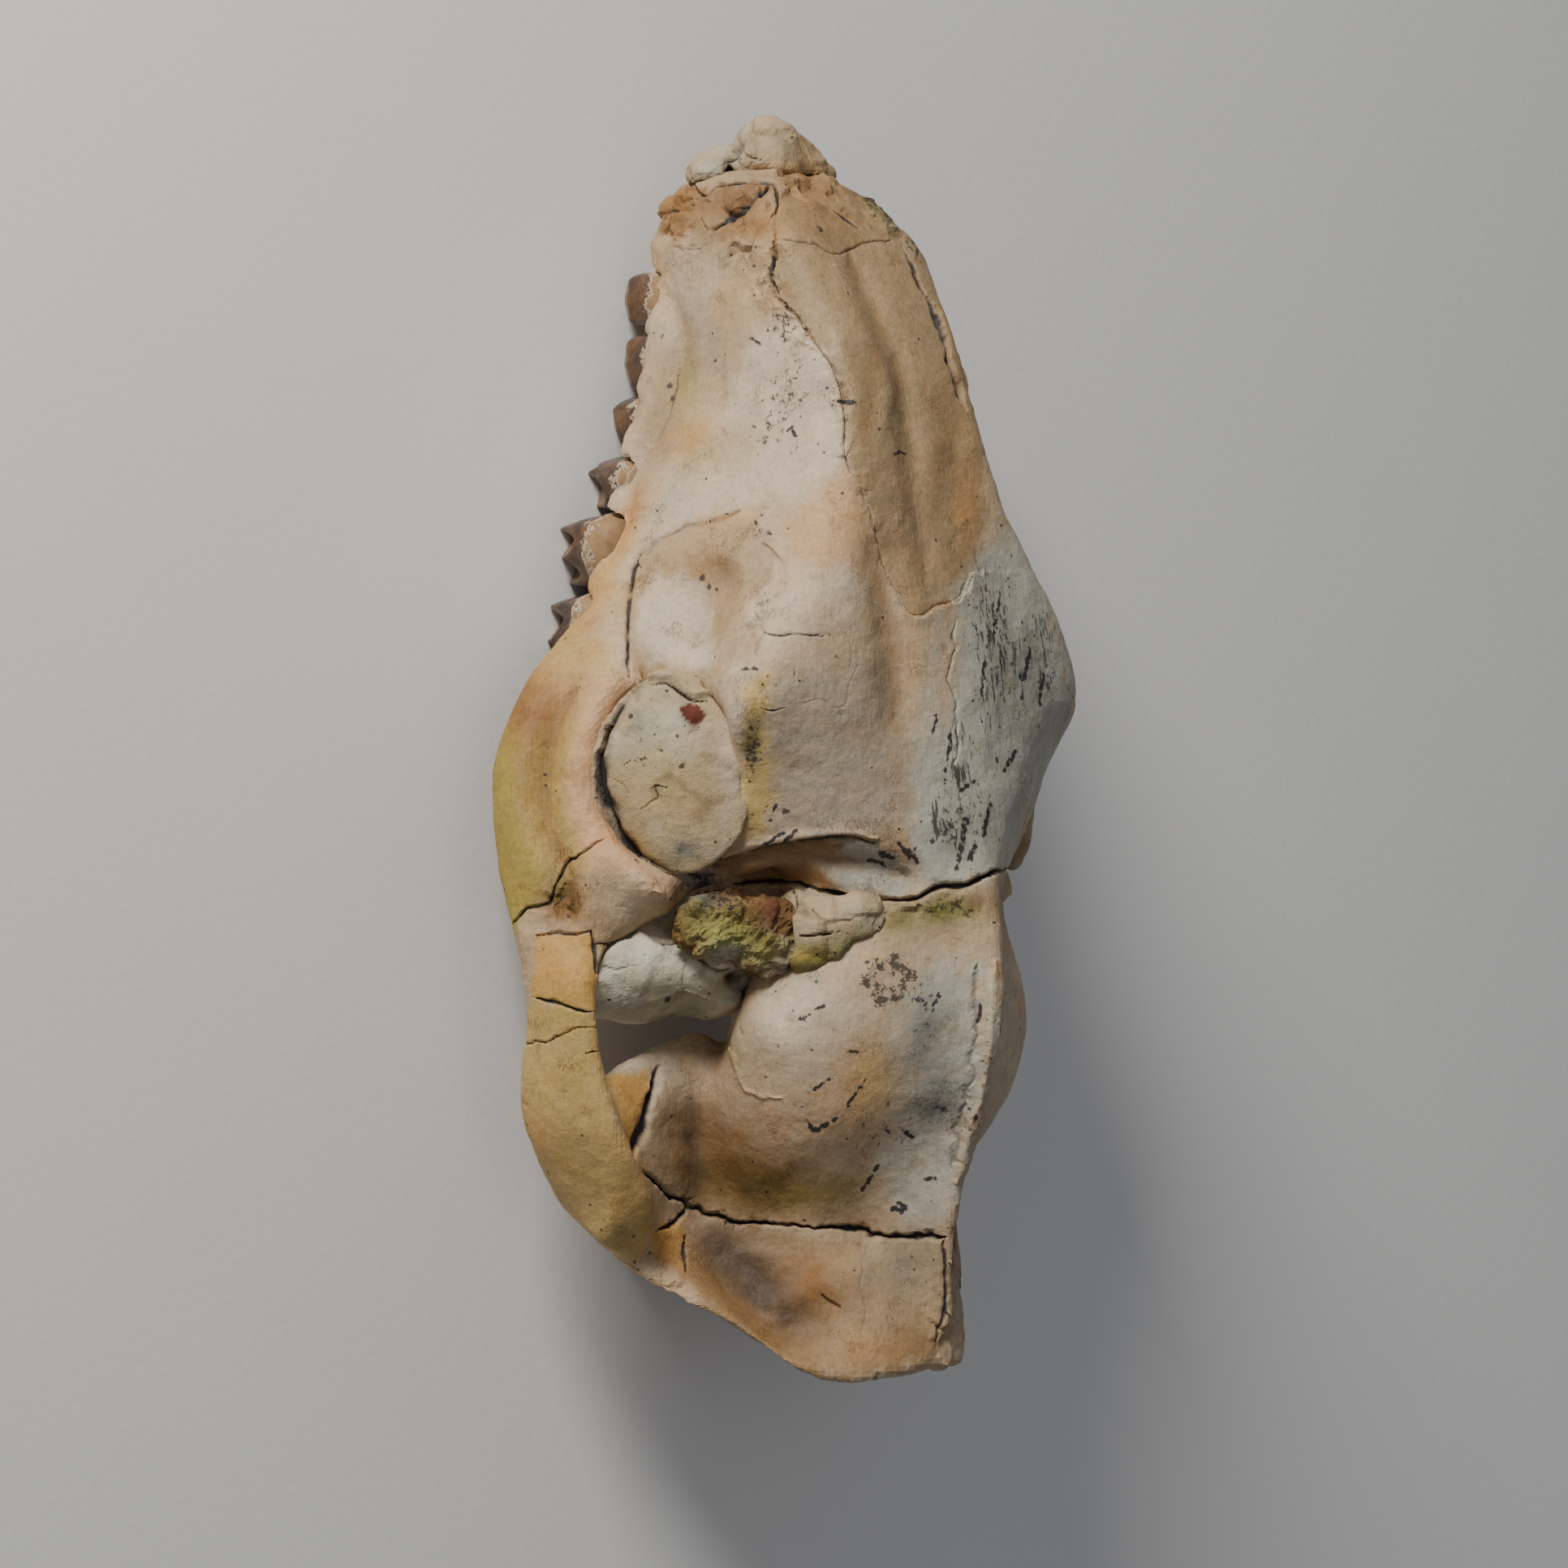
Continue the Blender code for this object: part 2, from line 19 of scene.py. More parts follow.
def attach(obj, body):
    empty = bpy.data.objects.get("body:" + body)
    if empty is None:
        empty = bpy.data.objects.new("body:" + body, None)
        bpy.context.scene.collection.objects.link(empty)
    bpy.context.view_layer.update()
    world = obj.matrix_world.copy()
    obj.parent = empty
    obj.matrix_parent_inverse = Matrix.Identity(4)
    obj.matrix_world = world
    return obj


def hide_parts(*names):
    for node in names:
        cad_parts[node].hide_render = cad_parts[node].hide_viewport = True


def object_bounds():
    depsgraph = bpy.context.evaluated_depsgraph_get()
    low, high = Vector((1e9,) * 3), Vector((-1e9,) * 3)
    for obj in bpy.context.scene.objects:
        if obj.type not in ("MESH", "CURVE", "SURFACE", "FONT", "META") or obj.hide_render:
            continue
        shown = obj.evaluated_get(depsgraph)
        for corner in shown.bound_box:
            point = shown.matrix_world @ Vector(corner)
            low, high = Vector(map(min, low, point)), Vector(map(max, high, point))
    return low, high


MM = 0.001

# The camera, in millimetres: it looks at the left side from 45 degrees above, with the snout upwards.
PICTURE = 1932
LENS = 160.0
SENSOR = 36.0
FIELD = 260.6
DISTANCE = FIELD * LENS / SENSOR
BACK = np.array([math.sqrt(0.5), 0.0, math.sqrt(0.5)])
RIGHT = np.array([-math.sqrt(0.5), 0.0, math.sqrt(0.5)])
UP = np.array([0.0, -1.0, 0.0])
CENTRE_SHIFT = 1.12
PIXEL = FIELD / PICTURE
AIM_ALONG = 6.0 + CENTRE_SHIFT
AIM_DIAGONAL = 21.93
AIM_LIFT = 35.0
AIM = np.array([-AIM_DIAGONAL / 2, AIM_ALONG, AIM_DIAGONAL / 2]) + BACK * AIM_LIFT

# Fineness of the pieces, in millimetres, and how much wider than their nodes they start.
BONE_VOXEL = 0.92
BONE_GROWTH = 0.12
LUMP_VOXEL = 0.62
LUMP_OVERLAP = 0.3
FINE_EDGE = 0.3
EDGE_GAP = 0.02

# The bone ends up with this many triangles. Points that are darker than this keep their fine mesh.
BONE_TRIANGLES = 190000
KEPT_DARKNESS = 0.12

# Lines that are at least this wide, in millimetres, are smooth folds and don't vary in width.
SMOOTH_WIDTH = 1.3

# Lines and spots that are placed from behind lie further back than this, in millimetres.
REAR_START = 84.0

# How much richer and how much darker the colours are made than those of the picture.
RICHNESS = 1.3
PAINT_DEPTH = 0.88
MOST_SPECKS = 1.15

# How a point is found to be seen: how high above the surface the ray starts, in millimetres, how far the
# surface may turn away, and how the result is smoothed.
RAY_START = 0.3
LEAST_FACING = 0.03
SEEN_GAIN = 1.4
SEEN_ROUNDS = 8

# The palette, in the picture's own colour values.
PALETTE = {
    "pink": (192, 172, 146),
    "peach": (204, 168, 132),
    "mauve": (184, 170, 152),
    "pale": (236, 230, 208),
    "lichen": (166, 162, 100),
    "tan": (176, 152, 120),
    "white": (208, 194, 174),
    "grey": (192, 190, 177),
    "olive": (162, 144, 78),
    "ochre": (196, 160, 98),
    "orange": (192, 152, 104),
    "yellow": (204, 178, 112),
    "brown": (120, 92, 56),
    "dark": (74, 56, 36),
    "smudge": (112, 112, 106),
    "green": (96, 104, 64),
    "moss": (122, 116, 62),
    "black": (34, 32, 34),
    "stone": (182, 178, 154),
    "sand": (182, 165, 136),
    "rust": (88, 46, 30),
    "fawn": (160, 139, 109),
    "hay": (186, 160, 108),
    "umber": (138, 104, 60),
}

# Features. Points are in the picture's pixels, widths and depths in millimetres.
Line = namedtuple("Line", "points width depth dark wander", defaults=(0.5, 1.5))
Patch = namedtuple("Patch", "colour strength soft rough points")
Spot = namedtuple("Spot", "colour strength centre radii turn", defaults=(0.0,))

# Sutures, cracks and grooves of the left side and the roof. A negative depth is a ridge. The lines named as
# shadows are dark bands of painted shade below a ridge.
LINES = {
    "nose_seam": Line(((955, 300), (952, 360), (975, 385), (1005, 425), (1028, 460), (1040, 510),
        (1042, 565), (1070, 620), (1084, 684), (1103, 728), (1122, 757), (1141, 757), (1154, 747),
        (1176, 741), (1189, 728), (1196, 706)), 0.3, 0.35, 0.3, 2.5),
    "nose_groove": Line(((1050, 310), (1080, 380), (1110, 450), (1120, 500), (1130, 600), (1143, 700)),
        1.5, 0.45, 0.0, 0.5),
    "nose_right_gap": Line(((1143, 368), (1156, 392), (1166, 424), (1172, 446), (1180, 472), (1190, 503)),
        0.55, 1.5, 0.95, 2.0),
    "nose_left_crack": Line(((953, 296), (951, 330), (953, 358), (966, 378), (985, 398)),
        0.3, 0.5, 0.8, 2.5),
    "nose_right_seam": Line(((1112, 300), (1124, 330), (1143, 368)), 0.4, 0.5, 0.5, 2.0),
    "nose_front_crack": Line(((966, 294), (1000, 302), (1035, 312), (1062, 301), (1100, 296)),
        0.22, 0.3, 0.4, 2.0),
    "nose_front_scratch": Line(((1028, 260), (1043, 271), (1058, 282)), 0.22, 0.35, 0.8, 1.0),
    "nose_tip_crack": Line(((878, 283), (892, 272), (900, 262), (912, 258), (921, 247), (934, 238),
        (947, 230)), 0.75, 1.3, 1.0, 2.0),
    "nose_tip_edge": Line(((855, 225), (866, 240), (880, 228), (905, 226), (930, 222), (952, 226),
        (958, 250), (950, 268)), 0.3, 0.8, 0.85, 2.5),
    "nose_brown_edge": Line(((812, 285), (826, 262), (842, 248), (858, 240)), 0.3, 0.7, 0.8, 2.0),
    "face_crease": Line(((819, 360), (836, 409), (836, 449), (813, 519), (792, 559), (776, 586),
        (767, 635), (748, 690)), 1.7, 0.8, 0.0, 1.0),
    "face_line": Line(((835, 455), (826, 500), (806, 540), (788, 570)), 0.28, 0.2, 0.45, 1.5),
    "hollow_edge": Line(((790, 700), (782, 690), (803, 672), (842, 651), (881, 642), (910, 628)),
        0.5, 0.5, 0.25, 2.5),
    "hollow_left_edge": Line(((788, 684), (776, 720), (772, 770), (774, 800), (776, 835)),
        0.38, 0.7, 0.75, 1.5),
    "hollow_right_edge": Line(((940, 668), (962, 700), (955, 735), (925, 750), (940, 780), (930, 810)),
        0.5, 0.5, 0.2, 3.0),
    "frontal_crack": Line(((940, 778), (958, 784), (985, 782), (1012, 784), (1024, 784)),
        0.2, 0.25, 0.8, 1.5),
    "frontal_crack_low": Line(((1010, 740), (1030, 765), (1050, 800), (1046, 830)), 0.2, 0.08, 0.25, 1.5),
    "frontal_crack_cross": Line(((935, 872), (950, 876), (968, 872)), 0.2, 0.25, 0.8, 1.5),
    "frontal_crack_up": Line(((980, 822), (979, 842)), 0.2, 0.3, 0.85, 1.0),
    "frontal_crack_net": Line(((990, 868), (1010, 862), (1028, 872), (1042, 866), (1046, 845),
        (1058, 820)), 0.2, 0.08, 0.25, 1.5),
    "roof_seam": Line(((1177, 763), (1176, 800), (1170, 840), (1176, 860), (1180, 900), (1175, 965)),
        0.22, 0.25, 0.45, 3.0),
    "eye_bone_ridge": Line(((800, 835), (815, 833), (830, 835), (842, 846), (855, 855), (875, 856)),
        0.75, -0.95, 0.0, 1.0),
    "eye_bone_shadow": Line(((803, 842), (822, 843), (838, 854), (853, 864), (872, 865)),
        0.25, 0.45, 0.75, 1.0),
    "cheek_crack": Line(((628, 1144), (640, 1130), (650, 1120), (668, 1114), (680, 1108), (688, 1085),
        (700, 1064), (716, 1050), (730, 1040), (745, 1033)), 0.3, 0.7, 1.0, 2.5),
    "cheek_bar_crack": Line(((735, 1163), (750, 1163), (765, 1162), (785, 1155), (800, 1150), (818, 1142),
        (835, 1135)), 0.3, 0.8, 0.9, 1.5),
    "arch_step": Line(((660, 1153), (690, 1150), (712, 1152), (728, 1148)), 0.4, 0.6, 0.7, 2.0),
    "arch_inner_step": Line(((728, 1148), (733, 1170), (735, 1200)), 0.4, 0.8, 0.9, 1.0),
    "arch_crack_front": Line(((655, 1229), (672, 1233), (690, 1238), (712, 1244), (737, 1249)),
        0.3, 0.75, 1.0, 1.5),
    "arch_crack_rear": Line(((641, 1283), (652, 1286), (661, 1284), (684, 1279), (712, 1268),
        (735, 1267)), 0.26, 0.5, 0.75, 2.5),
    "arch_crack_small": Line(((722, 1298), (733, 1296), (745, 1297)), 0.2, 0.4, 0.7, 1.0),
    "temple_edge": Line(((890, 1056), (907, 1048), (955, 1036), (978, 1031), (1019, 1027), (1050, 1026),
        (1080, 1032)), 0.8, -0.6, 0.0, 1.0),
    "temple_edge_shadow": Line(((880, 1062), (907, 1054), (955, 1042), (990, 1036), (1019, 1032),
        (1050, 1032), (1078, 1040)), 0.3, 0.6, 0.6, 1.5),
    "temple_gap": Line(((904, 1090), (940, 1088), (971, 1088), (1010, 1098), (1051, 1104), (1099, 1109),
        (1131, 1106), (1156, 1093), (1188, 1090), (1220, 1077), (1245, 1070)), 0.42, 1.4, 1.0, 1.5),
    "brain_crack": Line(((794, 1443), (810, 1458), (826, 1474), (845, 1479), (852, 1488), (883, 1498),
        (919, 1506), (963, 1509), (1001, 1512), (1059, 1515), (1075, 1522), (1107, 1523), (1164, 1526)),
        0.42, 1.3, 1.0, 3.0),
    "brain_crack_branch": Line(((850, 1486), (838, 1500), (826, 1510), (807, 1517)), 0.4, 1.0, 1.0, 2.0),
    "rear_short_crack": Line(((845, 1523), (843, 1540), (846, 1567)), 0.34, 0.6, 0.95, 1.5),
    "ear_cleft": Line(((810, 1316), (806, 1340), (800, 1362), (796, 1380), (788, 1402), (784, 1424)),
        0.75, 1.7, 1.0, 2.0),
    "brain_ridge": Line(((900, 1290), (908, 1318), (918, 1342), (938, 1350), (962, 1354)),
        0.5, -0.3, 0.0, 2.5),
    "rear_seam": Line(((1068, 1536), (1060, 1580), (1066, 1620), (1062, 1650)), 0.22, 0.12, 0.2, 3.0),
    "rear_notch": Line(((1012, 1594), (1020, 1602), (1034, 1610)), 0.5, 0.6, 0.4, 2.0),
    "crest_left_edge": Line(((1226, 1184), (1222, 1240), (1218, 1300), (1207, 1356), (1191, 1410),
        (1179, 1458)), 0.8, -0.5, 0.0, 2.0),
    "crest_pits": Line(((1206, 1190), (1202, 1240), (1199, 1300), (1192, 1350), (1180, 1400),
        (1172, 1440)), 0.55, 0.5, 0.3, 5.0),
    "crest_rear_edge": Line(((1162, 1530), (1166, 1570), (1167, 1600), (1160, 1630), (1151, 1651)),
        0.4, 0.5, 0.6, 2.5),
    "jugal_scratch": Line(((672, 836), (690, 812), (716, 797), (730, 790)), 0.3, 0.25, 0.15, 2.0),
    "maxilla_scratch": Line(((838, 307), (852, 308), (866, 305)), 0.2, 0.2, 0.5, 1.0),
}

# Broad rolls and troughs of the bone, as lines. A negative depth is a roll.
FOLDS = (
    Line(((776, 834), (748, 850), (725, 885), (713, 930), (712, 975), (720, 1020), (742, 1056),
        (772, 1082), (806, 1098)), 2.8, -3.8, 0, 0),
    Line(((706, 850), (686, 890), (674, 930), (670, 980), (678, 1030), (698, 1074)), 2.6, 1.9, 0, 0),
    Line(((1050, 310), (1080, 380), (1110, 450), (1120, 500), (1130, 600), (1143, 720)), 2.6, 0.8, 0, 0),
    Line(((1030, 330), (1060, 400), (1085, 470), (1095, 560), (1105, 640)), 2.2, -0.5, 0, 0),
    Line(((1088, 690), (1100, 740), (1108, 790), (1112, 840), (1110, 880)), 3.2, 1.1, 0, 0),
    Line(((880, 1066), (930, 1060), (980, 1062), (1030, 1066), (1080, 1072), (1118, 1080)), 2.3, 2.0, 0, 0),
    Line(((914, 845), (910, 900), (908, 960), (912, 1010), (900, 1040)), 1.8, -0.8, 0, 0),
    Line(((819, 330), (836, 409), (836, 449), (813, 519), (792, 559), (776, 586), (767, 635)),
        2.2, 0.8, 0, 0),
    Line(((806, 300), (812, 360), (806, 430), (790, 510), (765, 580)), 2.2, -0.6, 0, 0),
    Line(((665, 860), (650, 920), (645, 990), (650, 1060)), 5.0, -0.7, 0, 0),
    Line(((842, 1400), (858, 1450), (900, 1484), (960, 1496), (1030, 1504)), 6.5, 2.4, 0, 0),
    Line(((858, 1530), (900, 1560), (940, 1594), (975, 1622)), 6.5, 4.8, 0, 0),
    Line(((1010, 1545), (1060, 1580), (1100, 1620)), 8.0, -2.2, 0, 0),
    Line(((960, 1262), (985, 1310), (1010, 1370)), 9.0, -1.4, 0, 0),
    Line(((800, 1330), (830, 1330), (860, 1400)), 4.0, 0.8, 0, 0),
)
# The small pit of the part's rear wing, which is made a broad valley: the spot that is smoothed, as centre,
# radii and turn, and the balls that fill it, as pixel, distance from the aim towards the camera and radius.
REAR_PIT = ((930, 1570), (70, 46), 36)
REAR_PIT_ROUNDS = 160
POCKET_FILL = (
    ((925, 1566), -1.0, 8.5), ((905, 1572), 4.0, 5.5), ((955, 1584), 0.5, 8.0), ((886, 1552), 3.5, 4.5),
)

# Where the bone is broken and angular: soft spots with a relief in millimetres as their strength.
BROKEN = (
    Spot("brown", 0.8, (915, 250), (56, 34), -20),
    Spot("brown", 2.4, (838, 258), (40, 40)),
    Spot("brown", 1.6, (990, 215), (60, 28), 30),
    Spot("brown", 0.9, (948, 345), (26, 40), -10),
    Spot("brown", 0.8, (985, 410), (34, 26), 45),
    Spot("brown", 0.6, (1032, 480), (16, 50), -10),
    Spot("brown", 0.6, (1060, 600), (20, 60), -20),
    Spot("brown", 1.2, (1085, 262), (50, 18), 42),
    Spot("brown", 1.1, (930, 312), (50, 26)),
    Spot("brown", 1.2, (694, 1112), (24, 30), 10),
    Spot("brown", 1.5, (862, 1088), (30, 22)),
    Spot("brown", 0.7, (1150, 1115), (50, 18)),
    Spot("brown", 0.6, (1165, 1640), (26, 50)),
    Spot("brown", 0.5, (830, 1590), (50, 22), 30),
)
EYE_RIM = (
    (779, 836), (760, 860), (746, 893), (738, 920), (737, 950), (743, 985), (754, 1015), (770, 1041),
    (790, 1065), (812, 1081), (828, 1087),
)

# Dark marks of manganese: short strokes, given by both ends and a half width.
STROKES = (
    ((1027, 494), (1053, 497), 0.45), ((969, 532), (978, 526), 0.3), ((975, 528), (982, 538), 0.3),
    ((1101, 560), (1109, 557), 0.3), ((1109, 557), (1118, 559), 0.25), ((928, 418), (938, 424), 0.25),
    ((893, 634), (905, 630), 0.25), ((946, 655), (949, 657), 0.45), ((930, 642), (932, 645), 0.35),
    ((902, 612), (905, 618), 0.25), ((912, 824), (934, 826), 0.25), ((1044, 1297), (1058, 1295), 0.3),
    ((1045, 1361), (1067, 1330), 0.32), ((1003, 1343), (1022, 1330), 0.3),
    ((994, 1381), (1004, 1394), 0.45), ((1004, 1394), (1029, 1377), 0.45), ((986, 1255), (998, 1250), 0.3),
    ((1000, 1246), (1016, 1239), 0.3), ((1063, 1466), (1074, 1448), 0.4),
    ((1076, 1444), (1082, 1436), 0.35), ((1102, 1489), (1114, 1487), 0.8),
    ((1108, 1482), (1112, 1492), 0.6), ((962, 1040), (980, 1022), 0.35), ((905, 1022), (914, 1008), 0.4),
    ((948, 1012), (957, 992), 0.3), ((940, 1000), (946, 994), 0.25), ((1108, 1040), (1130, 1062), 0.5),
    ((1086, 1052), (1100, 1056), 0.5), ((1072, 1060), (1092, 1066), 0.4), ((1120, 1058), (1128, 1046), 0.3),
    ((1212, 1030), (1220, 990), 0.4), ((1196, 1060), (1203, 1036), 0.5), ((1165, 950), (1172, 905), 0.3),
    ((1150, 905), (1156, 880), 0.25), ((1260, 860), (1268, 800), 0.3), ((1282, 870), (1286, 830), 0.35),
    ((1225, 780), (1232, 730), 0.25), ((1208, 860), (1213, 815), 0.3), ((1150, 1240), (1158, 1225), 0.3),
    ((1205, 1260), (1208, 1240), 0.35), ((1196, 1390), (1203, 1372), 0.35),
    ((1142, 1453), (1152, 1451), 0.45), ((936, 1042), (966, 1026), 0.3), ((895, 1040), (905, 1026), 0.6),
    ((1180, 1070), (1192, 1010), 0.75), ((1238, 950), (1251, 925), 0.4), ((1184, 975), (1203, 960), 0.35),
    ((1112, 1392), (1124, 1401), 0.4),
)

# Areas of colour with a visible edge, in the order in which they cover each other.
PATCHES = (
    Patch("fawn", 0.95, 3, 5, ((955, 300), (952, 360), (975, 385), (1005, 425), (1028, 460), (1040, 510),
        (1042, 565), (1070, 620), (1084, 684), (1103, 728), (1122, 757), (1141, 757), (1154, 747),
        (1176, 741), (1189, 728), (1196, 706), (1220, 640), (1212, 560), (1196, 480), (1176, 380),
        (1148, 310), (1118, 268), (1060, 228), (1000, 196), (960, 226))),
    Patch("white", 0.6, 6, 12, ((952, 378), (975, 388), (1005, 428), (1028, 462), (1040, 512),
        (1042, 565), (1008, 592), (985, 622), (940, 618), (905, 628), (860, 645), (815, 664), (790, 690),
        (760, 735), (742, 700), (764, 664), (785, 620), (800, 584), (837, 560), (881, 538), (897, 500),
        (912, 455), (930, 410))),
    Patch("grey", 0.8, 12, 16, ((1222, 640), (1245, 668), (1295, 735), (1330, 850), (1305, 935),
        (1265, 1020), (1252, 1075), (1190, 1088), (1130, 1060), (1122, 1010), (1120, 950), (1136, 850),
        (1152, 800), (1176, 745), (1198, 706))),
    Patch("olive", 0.9, 16, 12, ((660, 815), (620, 880), (590, 960), (590, 1040), (605, 1120),
        (628, 1150), (668, 1110), (690, 1060), (680, 1000), (680, 940), (694, 870))),
    Patch("umber", 0.75, 3, 6, ((810, 285), (818, 255), (836, 228), (858, 224), (872, 240), (888, 262),
        (896, 284), (875, 296), (850, 288), (832, 300))),
    Patch("brown", 0.7, 2, 5, ((878, 238), (905, 222), (940, 220), (956, 230), (938, 244), (920, 258),
        (900, 270), (882, 262))),
    Patch("ochre", 0.5, 5, 8, ((905, 272), (930, 254), (960, 250), (972, 275), (950, 300), (915, 292))),
    Patch("ochre", 0.8, 2, 3, ((663, 1152), (733, 1150), (737, 1248), (655, 1231))),
    Patch("hay", 0.75, 4, 8, ((650, 1232), (738, 1250), (742, 1300), (760, 1380), (800, 1460),
        (802, 1536), (776, 1556), (730, 1530), (690, 1508), (655, 1440), (630, 1380), (632, 1320),
        (642, 1283))),
    Patch("hay", 0.75, 10, 12, ((650, 800), (700, 760), (745, 800), (760, 840), (735, 880), (715, 950),
        (722, 1010), (748, 1066), (720, 1080), (680, 1090), (640, 1000), (640, 900))),
    Patch("peach", 0.8, 7, 5, ((764, 826), (736, 850), (710, 890), (698, 940), (698, 990), (710, 1035),
        (734, 1068), (772, 1096), (806, 1110), (828, 1087), (812, 1081), (790, 1065), (770, 1041),
        (754, 1015), (743, 985), (737, 950), (738, 920), (746, 893), (760, 860), (779, 836))),
    Patch("mauve", 0.7, 14, 16, ((955, 840), (1000, 826), (1060, 820), (1110, 850), (1122, 930),
        (1116, 1010), (1060, 1024), (1000, 1026), (960, 1030), (958, 960), (962, 890))),
    Patch("yellow", 0.6, 6, 14, ((920, 834), (944, 834), (947, 880), (944, 930), (948, 980), (938, 1012),
        (915, 1040), (894, 1046), (904, 1012), (914, 975), (917, 930), (916, 880))),
    # The wall below the temple's edge: brown of its own, darkened further as painted shade.
    Patch("brown", 0.75, 4, 6, ((873, 1068), (900, 1054), (927, 1044), (985, 1035), (1042, 1030),
        (1076, 1038), (1070, 1070), (1050, 1098), (1024, 1093), (951, 1088))),
    Patch("smudge", 0.55, 5, 6, ((1030, 1034), (1080, 1036), (1104, 1052), (1126, 1068), (1112, 1100),
        (1072, 1104), (1030, 1092))),
    Patch("tan", 0.55, 4, 8, ((778, 690), (803, 672), (842, 651), (881, 642), (925, 640), (955, 668),
        (948, 715), (925, 742), (935, 785), (905, 815), (880, 832), (830, 832), (776, 835), (770, 780))),
    Patch("white", 0.75, 4, 8, ((800, 712), (840, 702), (872, 722), (882, 760), (880, 815), (845, 826),
        (800, 818), (786, 790), (788, 740))),
    Patch("orange", 0.45, 12, 12, ((1045, 572), (1012, 592), (988, 622), (968, 650), (972, 690),
        (1000, 700), (1045, 690), (1085, 715), (1080, 670), (1064, 610))),
    Patch("grey", 0.65, 20, 22, ((1150, 1195), (1222, 1180), (1222, 1240), (1216, 1300), (1205, 1356),
        (1190, 1410), (1176, 1460), (1165, 1520), (1105, 1515), (1085, 1440), (1100, 1380), (1095, 1300),
        (1110, 1250))),
    Patch("fawn", 0.8, 8, 14, ((845, 1500), (900, 1512), (980, 1520), (1075, 1528), (1166, 1532),
        (1168, 1640), (1110, 1690), (1000, 1700), (900, 1650), (845, 1580))),
    Patch("ochre", 0.75, 3, 4, ((748, 1326), (800, 1318), (800, 1362), (785, 1424), (766, 1390))),
    Patch("ochre", 0.9, 3, 4, ((800, 1517), (845, 1500), (846, 1568), (812, 1556), (798, 1540))),
    Patch("grey", 0.5, 5, 6, ((1000, 1060), (1060, 1036), (1120, 1062), (1180, 1082), (1130, 1104),
        (1050, 1102))),
)
